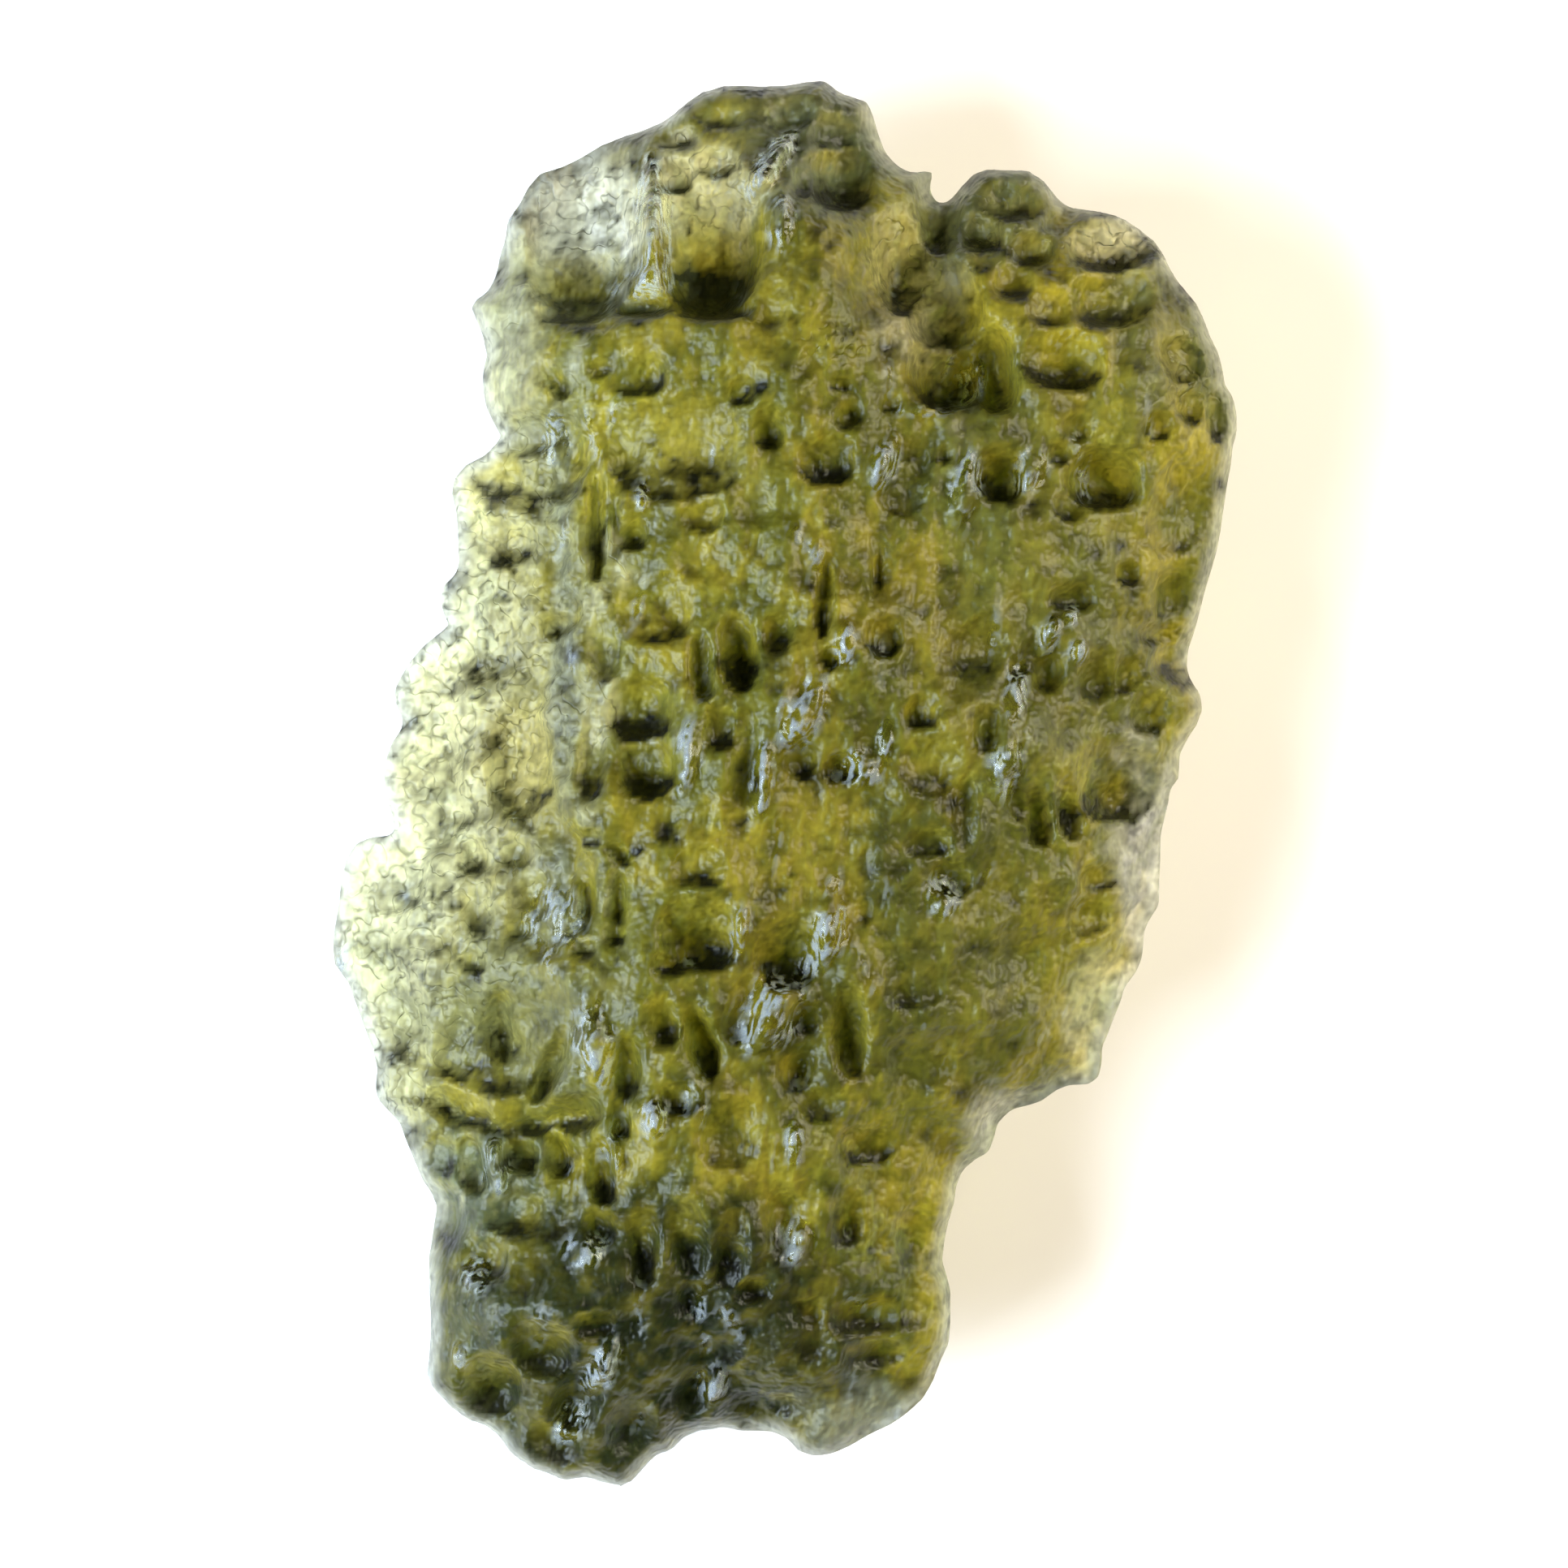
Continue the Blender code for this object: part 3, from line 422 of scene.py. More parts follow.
    (-2.00, -2.00, 0.55, 0.65, 0, 0.35, 0.30, 0.40),
    (-2.05, -3.55, 0.98, 0.98, 0, 0.90, 0.60, 0.70),
    (-2.75, -4.25, 0.35, 0.38, 0, 0.60, 0.40, 0.95),
    (0.05, -4.00, 1.00, 0.78, 4, 0.95, 0.75, 0.95),
    (-2.85, -5.60, 0.68, 0.42, 10, 0.60, 0.60, 0.90),
    (-2.00, -6.05, 1.05, 0.36, 18, 0.75, 0.60, 0.85),
    (-3.75, -6.80, 0.90, 0.36, 0, 0.60, 0.40, 0.60),
    (-0.85, -5.30, 1.00, 0.55, -28, 0.55, 0.20, 0.30),
    (0.50, -5.60, 0.45, 0.40, 0, 0.45, 0.40, 0.80),
    (1.58, -5.90, 1.18, 0.42, 2, 0.70, 0.40, 0.35),
    (0.30, -6.90, 0.50, 0.40, 0, 0.35, 0.40, 0.60),
    (3.10, -4.80, 0.60, 0.80, 0, 0.35, 0.30, 0.45),
    (3.30, -6.60, 0.80, 0.90, 0, 0.30, 0.30, 0.30),
    (0.90, -7.70, 0.45, 0.55, 0, 0.35, 0.40, 0.60),
    (2.00, -8.70, 0.55, 0.75, 0, 0.50, 0.50, 0.80),
    (-2.50, -7.50, 0.45, 0.50, 0, 0.45, 0.40, 0.75),
    (-1.30, -8.30, 0.90, 0.75, 0, 0.40, 0.30, 0.25),
    (-3.90, -8.00, 0.55, 0.30, 0, 0.60, 0.50, 0.90),
    # the left flange
    (-7.00, 7.55, 0.65, 0.70, 0, 0.55, 0.50, 0.45),
    (-6.75, 5.90, 0.60, 0.85, 0, 0.45, 0.60, 0.50),
    (-8.00, 4.55, 0.45, 0.40, 0, 0.35, 0.20, 0.10),
    (-5.50, 3.80, 0.32, 0.35, 0, 0.45, 0.40, 0.60),
    (-7.20, 3.30, 0.80, 1.00, 15, 0.40, 0.60, 0.35),
    (-8.60, 2.60, 0.70, 0.60, 30, 0.40, 0.20, 0.15),
    (-6.40, 0.60, 1.50, 0.85, 0, 0.60, 0.40, 0.25),
    (-5.78, -0.12, 0.26, 0.26, 25, 0.45, 0.30, 0.90),
    (-8.60, 0.20, 1.00, 0.85, 0, 0.45, 0.20, 0.20),
    (-8.00, -0.70, 0.45, 0.55, 0, 0.35, 0.30, 0.30),
    (-7.55, -1.80, 0.50, 0.40, 0, 0.40, 0.30, 0.50),
    (-6.50, -1.70, 0.40, 0.45, 0, 0.35, 0.20, 0.10),
    (-9.60, -2.35, 0.85, 0.90, 5, 0.70, 0.60, 0.35),
    (-7.40, -3.00, 0.80, 0.40, 5, 0.35, 0.40, 0.40),
    (-7.45, -4.35, 0.38, 0.36, 0, 0.45, 0.30, 0.75),
    (-6.45, -3.55, 0.28, 0.30, 0, 0.35, 0.30, 0.55),
    # the bowl with its two grooves, and the dark ledge under it
    (-6.80, -5.90, 1.75, 1.90, 0, 0.85, 0.60, 0.15),
    (-6.88, -5.80, 1.22, 0.42, 0, 1.35, 0.45, 0.75),
    (-5.60, -6.75, 1.20, 0.34, -24, 1.35, 0.40, 0.55),
    (-7.95, -6.30, 0.75, 0.30, 0, 0.60, 0.40, 0.25),
    (-9.30, -5.90, 1.30, 0.75, 12, 0.30, 0.20, 0.15),
    (-9.20, -7.40, 0.60, 0.50, 20, 0.35, 0.20, 0.30),
    (-7.75, -7.85, 0.50, 1.10, -14, 0.55, 0.30, 0.55),
    (-6.30, -8.10, 0.60, 1.05, 4, 0.75, 0.20, 0.60),
    (-5.05, -7.95, 0.50, 0.80, 16, 0.55, 0.30, 0.55),
    (-6.40, -8.90, 0.60, 0.50, 0, 0.85, 0.50, 0.90),
    (-7.60, -9.30, 0.80, 0.40, 10, 0.75, 0.20, 0.40),
    (-5.50, -8.90, 0.70, 0.35, 12, 0.75, 0.30, 0.50),
    (-8.40, -9.10, 0.60, 0.42, 20, 0.40, 0.30, 0.45),
    (-4.35, -9.35, 0.85, 0.38, 4, 0.85, 0.60, 0.90),
    # the lower lobe
    (-6.50, -10.40, 0.60, 0.80, 0, 0.40, 0.30, 0.30),
    (-4.40, -10.60, 0.50, 0.40, 0, 0.45, 0.40, 0.60),
    (-3.35, -11.00, 1.10, 0.38, 0, 0.50, 0.70, 0.75),
    (-2.30, -10.80, 1.10, 0.50, 8, 0.50, 0.50, 0.50),
    (-1.25, -11.10, 1.10, 0.42, -6, 0.50, 0.50, 0.70),
    (-7.20, -11.50, 0.60, 0.60, 0, 0.55, 0.30, 0.40),
    (-0.75, -12.15, 0.35, 0.45, 0, 0.50, 0.40, 0.90),
    (-2.20, -12.40, 0.60, 0.40, 0, 0.45, 0.30, 0.40),
    (-4.55, -12.95, 0.42, 0.50, 0, 0.60, 0.30, 0.90),
    (-5.80, -13.60, 0.80, 0.80, -15, 0.70, 0.30, 0.70),
    (-7.10, -14.60, 0.90, 0.75, -10, 0.75, 0.30, 0.60),
    (-5.00, -14.90, 1.10, 0.60, -25, 0.80, 0.20, 0.60),
    (-5.60, -16.10, 0.60, 0.70, -20, 0.50, 0.20, 0.50),
    (-3.70, -15.60, 0.90, 0.60, -15, 0.45, 0.30, 0.40),
    (-2.20, -14.80, 0.70, 0.45, -20, 0.55, 0.30, 0.50),
    (-0.10, -15.20, 0.35, 0.45, 0, 0.45, 0.40, 0.85),
    (0.60, -12.70, 0.40, 0.40, 0, 0.35, 0.40, 0.45),
    (2.00, -12.90, 0.50, 1.00, 0, 0.50, 0.50, 0.70),
    (2.20, -13.80, 0.45, 0.80, 0, 0.40, 0.40, 0.55),
    (0.00, -10.50, 0.90, 0.45, 0, 0.40, 0.30, 0.25),
    (1.50, -10.40, 0.80, 0.40, 10, 0.40, 0.30, 0.40),
    (3.20, -11.00, 0.80, 0.50, 0, 0.40, 0.20, 0.30),
    (3.20, -12.60, 0.70, 0.50, 0, 0.35, 0.20, 0.20),
)

# low crests and facets that stand up between the pits: x, y, half-length, half-width, turn, height, skew.
# A negative skew makes the left side higher, a positive one the right.
upperCrests = (
    (-3.15, 13.60, 2.10, 0.34, 2, 0.45, 0.0),
    (-3.45, 12.05, 0.40, 0.60, 0, 0.35, -0.3),
    (4.50, 9.70, 0.75, 0.30, -20, 0.20, 0.3),
    (3.35, 8.95, 0.20, 0.60, 0, 0.20, 0.0),
    (0.95, -3.40, 1.40, 0.22, -14, 0.20, 0.4),
    (-0.35, 14.90, 1.30, 0.30, -32, 0.55, 0.2),
    (-0.05, 13.40, 0.80, 0.28, 0, 0.35, 0.2),
    (4.35, 7.10, 0.95, 0.30, -8, 0.25, 0.4),
    (2.40, 7.60, 0.75, 0.26, -22, 0.30, 0.4),
    (5.90, 7.45, 0.60, 0.32, -35, 0.35, 0.4),
    (-2.30, 0.60, 1.00, 0.28, -8, 0.30, 0.4),
    (0.45, 1.60, 1.15, 0.36, -26, 0.40, 0.4),
    (-0.50, 0.10, 1.00, 0.26, -4, 0.30, 0.4),
    (1.45, 3.30, 0.60, 0.22, -8, 0.25, 0.4),
    (1.75, 0.35, 0.50, 0.50, 0, 0.30, 0.3),
    (2.40, 1.00, 0.60, 0.16, -8, 0.22, 0.4),
    (5.30, 0.60, 1.10, 0.30, 0, 0.30, 0.4),
    (5.55, 2.30, 0.80, 0.24, -4, 0.25, 0.4),
    (6.35, 3.50, 0.60, 0.20, -20, 0.28, 0.4),
    (7.10, 3.15, 0.32, 0.20, 25, 0.25, 0.3),
    (6.90, 4.00, 0.30, 0.14, -15, 0.22, 0.3),
    (1.10, -3.70, 1.00, 0.28, -16, 0.35, 0.4),
    (-1.05, -3.50, 0.70, 0.20, -10, 0.30, 0.4),
    (-0.35, -5.45, 1.20, 0.60, -30, 0.45, 0.5),
    (-5.55, -3.25, 0.85, 0.60, 0, 0.35, 0.5),
    (-4.55, -6.20, 1.30, 0.40, 6, 0.35, 0.4),
    (-3.10, -8.00, 0.55, 0.30, 0, 0.40, 0.4),
    (-6.95, -9.30, 0.80, 0.26, 8, 0.45, 0.4),
    (-4.00, -9.10, 0.60, 0.16, 0, 0.30, 0.4),
    (-4.75, -11.20, 0.45, 0.45, 0, 0.30, 0.4),
    (0.25, -11.00, 0.60, 0.40, 0, 0.30, 0.3),
    (0.25, -8.60, 0.60, 0.20, 0, 0.22, 0.3),
    (-2.00, -12.50, 0.50, 0.25, 0, 0.30, 0.3),
    (-4.40, -14.10, 0.90, 0.32, -28, 0.45, 0.4),
    (-1.75, -14.60, 0.55, 0.32, -15, 0.40, 0.4),
    (-5.20, -15.60, 0.70, 0.28, -30, 0.40, 0.4),
    (-7.45, -11.90, 0.45, 0.30, 0, 0.30, 0.3),
    (-7.90, -13.90, 0.35, 0.20, 0, 0.25, 0.3),
    (3.80, -2.70, 0.60, 0.35, 0, 0.25, 0.3),
    (-3.40, 6.85, 0.45, 0.14, 8, 0.25, 0.3),
    (0.80, 5.45, 0.50, 0.12, 8, 0.22, 0.3),
    (-5.60, 8.40, 0.80, 0.30, 15, 0.30, 0.3),
)

# long steps in the face: from x, y to x, y, width, drop, how far it reaches.
# The face is lowered on the left of that way, or on its right where the drop is below zero.
upperSteps = (
    (-5.30, 8.60, -5.25, -4.20, 0.50, -0.75, 5.0),
    (-4.60, -8.00, -8.60, -7.75, 0.40, 0.55, 2.5),
    (-5.40, 11.00, 0.10, 11.05, 0.40, 0.35, 2.0),
)

# flutes that run in from the rim's notches, over both faces: x, y, turn, half-length, half-width, depth
rimFlutes = (
    (3.80, 14.20, 0, 1.50, 0.60, 0.90),
    (6.90, 14.20, -25, 1.00, 0.45, 0.50),
    (9.95, 3.00, -80, 1.20, 0.55, 0.50),
    (9.65, 0.50, -80, 0.80, 0.40, 0.45),
    (8.30, -5.00, -60, 0.90, 0.45, 0.35),
    (5.60, -8.20, -50, 1.00, 0.55, 0.45),
    (4.10, -11.40, -90, 0.90, 0.70, 0.45),
    (-0.80, -15.90, 180, 1.10, 0.90, 0.60),
    (-8.70, -10.60, 90, 1.00, 0.80, 0.40),
    (-9.50, -8.30, 70, 0.90, 0.50, 0.40),
    (-9.60, -1.20, 90, 1.70, 0.50, 0.60),
    (-9.40, 1.35, 90, 1.30, 0.42, 0.55),
    (-8.30, 3.86, 80, 1.30, 0.42, 0.60),
    (-7.98, 5.40, 90, 0.90, 0.40, 0.40),
    (-6.95, 8.42, 95, 1.80, 0.55, 0.70),
    (-7.30, 10.60, 90, 0.80, 0.45, 0.35),
    (-7.00, 12.80, 80, 0.80, 0.45, 0.35),
)

# small pits strewn over a face on a loose grid, and the polished streaks of the upper one
strewnAbove = {"seed": 11, "spacing": 1.5, "halfLength": (0.40, 0.90), "slimness": (0.40, 0.75),
               "depth": (0.05, 0.24), "soilAndShade": (0.10, 0.60)}
strewnFine = {"seed": 5, "spacing": 0.55, "halfLength": (0.18, 0.48), "slimness": (0.35, 0.75),
              "depth": (0.01, 0.055), "soilAndShade": (0.0, 0.4)}
strewnBelow = {"seed": 29, "spacing": 1.75, "halfLength": (0.90, 1.70), "slimness": (0.55, 0.90),
               "depth": (0.35, 0.85), "soilAndShade": (0.1, 0.5)}
strewnFineBelow = {"seed": 17, "spacing": 0.8, "halfLength": (0.25, 0.7), "slimness": (0.35, 0.8),
                   "depth": (0.06, 0.2), "soilAndShade": (0.0, 0.4)}
strewnShine = {"seed": 23, "spacing": 2.3, "halfLength": (0.3, 1.1), "slimness": (0.12, 0.28),
               "depth": (0.1, 0.9), "soilAndShade": (0.0, 0.0)}
strewing = {
    "halfWide": 11.15,
    "halfHigh": 17.35,
    "scatter": (-0.1, 1.1),  # place within a square of the grid
    "turnSpread": 24,        # in degrees either side of the flow along the stone
    "lean": (0, 0.7),
}

# how a scoop is shaped, and how its soil film and painted shade lie in it, with a painted golden glow on the
# upper wall
scoop = {
    "squareness": 2.4,
    "wall": 0.85,          # under 1 gives steep walls and a level floor
    "leanWall": 0.4,       # steeper still at the lower end of one that leans
    "leanLevel": 0.4,
    "darkRise": 1.5,       # soil film and painted shade lie in the lower end
    "darkFrom": 0.1,
    "glowRise": 1.3,      # and the upper wall gets a painted golden glow
    "glowShare": 0.6,
    "darkEdge": 0.25,
}


def strewn(seed, spacing, halfLength, slimness, depth, soilAndShade):
    dice = random.Random(seed)
    halfWide, halfHigh = strewing["halfWide"], strewing["halfHigh"]
    found = []
    for row in range(int(2 * halfHigh / spacing) + 1):
        for column in range(int(2 * halfWide / spacing) + 1):
            x = -halfWide + (column + dice.uniform(*strewing["scatter"])) * spacing
            y = -halfHigh + (row + dice.uniform(*strewing["scatter"])) * spacing
            length = dice.uniform(*halfLength)
            width = length * dice.uniform(*slimness)
            turn = dice.gauss(0, strewing["turnSpread"])
            deep, lean, dark = [dice.uniform(*span) for span in (depth, strewing["lean"], soilAndShade)]
            found.append((x, y, length, width, turn, deep, lean, dark))
    return found


def fluteScoops():
    return [(x, y, length, width, turn, depth, 0.0, 0.1) for x, y, turn, length, width, depth in rimFlutes]


def scooped(place, scoops):
    # where scoops overlap the deepest wins, so they meet in sharp crests; their lower ends get a soil film
    # and painted shade, and their upper walls, where the value is below zero, a painted golden glow
    deepest = np.zeros(len(place))
    soilAndShade = np.zeros(len(place))
    order = np.argsort(place[:, 1])
    rising = place[order, 1]
    for x, y, halfLength, halfWidth, turn, depth, lean, dark in scoops:
        reach = max(halfLength, halfWidth)
        first, last = np.searchsorted(rising, (y - reach, y + reach))
        near = order[first:last]
        angle = math.radians(turn)
        east, north = place[near, 0] - x, place[near, 1] - y
        down = (-north * math.cos(angle) + east * math.sin(angle)) / halfLength
        across = (east * math.cos(angle) + north * math.sin(angle)) / halfWidth
        inside = np.clip(1 - abs(down)**scoop["squareness"] - abs(across)**scoop["squareness"], 0, None)
        steepness = scoop["wall"] - scoop["leanWall"] * lean * smoothStep(down)
        here = depth * inside**steepness * (1 + lean * down) / (1 + scoop["leanLevel"] * lean)
        wins = here > deepest[near]
        deepest[near] = np.where(wins, here, deepest[near])
        shade = smoothStep(scoop["darkRise"] * down + scoop["darkFrom"])
        shade -= scoop["glowShare"] * smoothStep(-scoop["glowRise"] * down)
        # soil film and painted shade at the lower end, painted golden glow on the upper wall
        soilAndShade[near] = np.where(wins, dark * shade * inside**scoop["darkEdge"], soilAndShade[near])
    return deepest, soilAndShade


def crested(place, crests):
    # raised forms add up
    rise = np.zeros(len(place))
    for x, y, halfLength, halfWidth, turn, height, skew in crests:
        angle = math.radians(turn)
        east, north = place[:, 0] - x, place[:, 1] - y
        down = (-north * math.cos(angle) + east * math.sin(angle)) / halfLength
        across = (east * math.cos(angle) + north * math.sin(angle)) / halfWidth
        rise += height * np.clip(1 - down**2 - across**2, 0, None) * (1 + skew * across)
    return rise


def stepped(place, steps):
    # each drop fades out at the step's ends and with distance from it
    total = np.zeros(len(place))
    winding = uneven(place, "stepWinding")
    fade = stone["stepFade"]
    for startX, startY, endX, endY, width, drop, reach in steps:
        way = np.array([endX - startX, endY - startY])
        length = math.hypot(*way)
        way /= length
        offset = place - np.array([startX, startY])
        along = offset @ way
        side = math.copysign(1, drop) * (offset @ np.array([-way[1], way[0]]) + winding)
        ends = smoothStep((along + fade) / (2 * fade)) * smoothStep((length - along + fade) / (2 * fade))
        total += abs(drop) * ends * smoothStep(side / width + 0.5) * np.exp(-np.clip(side, 0, None) / reach)
    return total


def waviness(place, scale, offset, stretch=1.0):
    # a place may have a height as well, so that a pattern isn't drawn out down the steep walls
    spots = np.zeros((len(place), 3))
    spots[:, :place.shape[1]] = place / scale
    spots += (0, 0, offset)
    return np.array([noise.fractal((x, y / stretch, z), 0.6, 2.1, 4) for x, y, z in spots])


def uneven(place, name):
    height, *pattern = stone[name]
    return height * waviness(place, *pattern)


def patchShare(place, x, y, halfWidth, halfLength, ragged):
    # an oval patch, level inside, with an uneven edge
    spread = ((place[:, 0] - x) / halfWidth) ** 2 + ((place[:, 1] - y) / halfLength) ** 2
    spread *= np.clip(1 + skin["patchEdge"] * ragged, *skin["patchLimits"])
    return np.exp(-spread ** skin["patchLevel"])


def frostShare(place, ragged):
    total = np.zeros(len(place))
    for x, y, halfWidth, halfLength, strength in skin["frost"]:
        total += strength * patchShare(place, x, y, halfWidth, halfLength, ragged)
    return np.clip(total, 0, 1)


def rimDistance(place):
    dense = []
    for first, second in zip(rimPoints, rimPoints[1:] + rimPoints[:1]):
        a, b = Vector((*first, 0)), Vector((*second, 0))
        steps = max(1, math.ceil((b - a).length / stone["rimStep"]))
        dense += [a.lerp(b, i / steps) for i in range(steps)]
    tree = kdtree.KDTree(len(dense))
    for index, point in enumerate(dense):
        tree.insert(point, index)
    tree.balance()
    return np.array([tree.find((x, y, 0))[2] for x, y in place])


def rimProfile(distance, swell, reach):
    edge = np.clip(distance / stone["rimRound"], 0, 1)
    rounded = stone["rimHalf"] * (stone["rimEdge"] + (1 - stone["rimEdge"]) * np.sqrt(1 - (1 - edge) ** 2))
    return rounded + swell * (1 - np.exp(-distance / reach))


def swollen(place, name):
    total = np.zeros(len(place))
    for x, y, halfWidth, halfLength, rise in stone[name]:
        total += rise * np.exp(-((place[:, 0] - x) / halfWidth) ** 2 - ((place[:, 1] - y) / halfLength) ** 2)
    return total


def waveShare(distance, name):
    reach, least = stone[name]
    return np.clip(distance / reach, least, 1)


def pitShare(distance):
    return np.clip(stone["pitEdge"] + distance / stone["pitFade"], 0, 1)


def upperFace(place, distance):
    # height over the middle surface, and the soil film with painted shade
    height = rimProfile(distance, stone["topSwell"], stone["topReach"])
    height += swollen(place, "swellings")
    height += uneven(place, "faceWaves") * waveShare(distance, "waveFade")
    height += uneven(place, "faceFluting") * waveShare(distance, "flutingFade")
    height += crested(place, upperCrests) - stepped(place, upperSteps)
    pits, soilAndShade = scooped(place, list(upperPits) + fluteScoops())
    small, smallSoilAndShade = scooped(place, strewn(**strewnAbove))
    fine, fineSoilAndShade = scooped(place, strewn(**strewnFine))
    # winding creases crackle the frosted skin and the insides of the deeper pits, and are tinted darker
    # along their lines as painted shade
    creaseHeight, *creasePattern = stone["creases"]
    fold = np.abs(waviness(place, *creasePattern))
    deepEnough = smoothStep(pits / stone["creasedDepth"] - stone["creasedFrom"])
    crackled = np.maximum(deepEnough, frostShare(place, fold))
    height += creaseHeight * fold * crackled
    # painted shade along the creases
    creaseShading = stone["creaseShadeStrength"] * crackled * smoothStep(1 - fold / stone["creaseWidth"])
    scoopedOut = stone["pitDepth"] * pits + stone["smallPitDepth"] * small + fine
    height = np.maximum(height - scoopedOut * pitShare(distance), stone["least"])
    soilAndShade += stone["smallPitDark"] * smallSoilAndShade + stone["finePitDark"] * fineSoilAndShade + creaseShading
    return height, soilAndShade


def lowerFace(place, distance, middle):
    # depth under the middle surface, and the soil film with painted shade
    depth = rimProfile(distance, stone["bellySwell"], stone["bellyReach"])
    depth += swollen(place, "lowerSwellings")
    depth += uneven(place, "bellyWaves") * waveShare(distance, "waveFade")
    x, y, radius = stone["restSpot"]
    fromRest = np.hypot(place[:, 0] - x, place[:, 1] - y) - uneven(place, "restRagged")
    spared = np.clip((fromRest - radius) / stone["restBlend"], 0, 1)
    lowered = 1 - smoothStep((fromRest - radius) / stone["restSlope"])
    depth += np.clip(middle + stone["restProud"] - depth, 0, None) * lowered
    pits, soilAndShade = scooped(place, fluteScoops() + strewn(**strewnBelow))
    fine, fineSoilAndShade = scooped(place, strewn(**strewnFineBelow))
    depth -= (pits + fine) * spared * pitShare(distance)
    return np.clip(depth, stone["least"], middle - stone["floorGap"]), np.maximum(soilAndShade, fineSoilAndShade)


def patterned(place, name, offset=0.0):
    spacing, further, stretch = skin[name]
    return waviness(place, spacing, offset + further, stretch)


def tintedTowards(tint, colour, share):
    return tint + (np.array(linear(skin.get(colour, colour))[:3]) - tint) * share[:, None]


def skinTint(place, distance, soilAndShade, offset):
    # what the skin lets through: clear, tinted in broad patches, mottled, with a painted glow at the thin
    # rim and on the upper walls of pits, and dark where the soil film and painted shade lie. The fourth
    # value says how frosted it is.
    broad, grain, wide = [patterned(place, name, offset) for name in ("broad", "grain", "wide")]
    frost = frostShare(place, broad)
    tint = np.tile(linear(skin["clear"])[:3], (len(place), 1))
    gilded = skin["goldShare"] * smoothStep(skin["goldFrom"] + skin["goldRise"] * broad)
    tint = tintedTowards(tint, "golden", gilded)
    for x, y, halfWidth, halfLength, colour, strength in skin["patches"]:
        tint = tintedTowards(tint, colour, strength * patchShare(place, x, y, halfWidth, halfLength, broad))
    mottled = 1 + (skin["grainMottle"] - skin["frostedGrain"] * frost) * grain + skin["wideMottle"] * wide
    tint = np.clip(tint * mottled[:, None], 0, 1)
    # painted golden glow on the upper walls of pits and on slopes that face down the stone
    glowingWall = skin["wallGlowGold"] * np.clip(-soilAndShade, 0, 1) * (1 - skin["frostedGold"] * frost)
    tint = tintedTowards(tint, "golden", glowingWall)
    # painted glow at the thin rim
    rimGlowShare = skin["rimGlow"] * smoothStep(skin["rimFrom"] - distance / skin["rimFade"])
    tint = tintedTowards(tint, "rim", rimGlowShare)
    least, span, start, rise = skin["darkBroken"]
    # soil film and painted shade darken the tint
    ragged = skin["darkStrength"] * np.clip(soilAndShade, 0, None) ** skin["darkPower"]
    ragged *= least + span * smoothStep(start + rise * grain)
    specks = skin["speckles"] - skin["frostedSpecks"] * frost
    specks *= smoothStep((grain - skin["speckSpared"] * broad - skin["speckFrom"]) / skin["speckSpan"])
    tint = tintedTowards(tint, "soilShadeColour", np.clip(np.maximum(ragged, specks), 0, 1))
    return np.column_stack([tint, frost])


def polishAndGlint(place):
    # the crests and a few streaks are fire-polished, the rest is dull; the glass also paints silvery glints
    # where this map is high
    longer, wider, strength = skin["shineLength"], skin["shineWidth"], skin["shineStrength"]
    facets = [(x, y, longer * length, wider * width, turn, strength, 0)
              for x, y, length, width, turn, height, skew in upperCrests]
    streaks = scooped(place, strewn(**strewnShine))[0]
    worn = smoothStep(skin["wearFrom"] + skin["wearRise"] * patterned(place, "wear"))
    return np.clip((crested(place, facets) + streaks) * worn, 0, 1)


def slopeShading(piece):
    # painted shade on the slopes that face up the stone, and painted light on those that face down it
    facing = np.empty(len(piece.data.vertices) * 3)
    piece.data.vertices.foreach_get("normal", facing)
    upStone = facing.reshape(-1, 3)[:, 1]
    held = np.clip(upStone - stone["slopeFrom"], 0, 1)
    return stone["slopeShade"] * (held - stone["slopeGlow"] * np.clip(-upStone - stone["slopeFrom"], 0, 1))


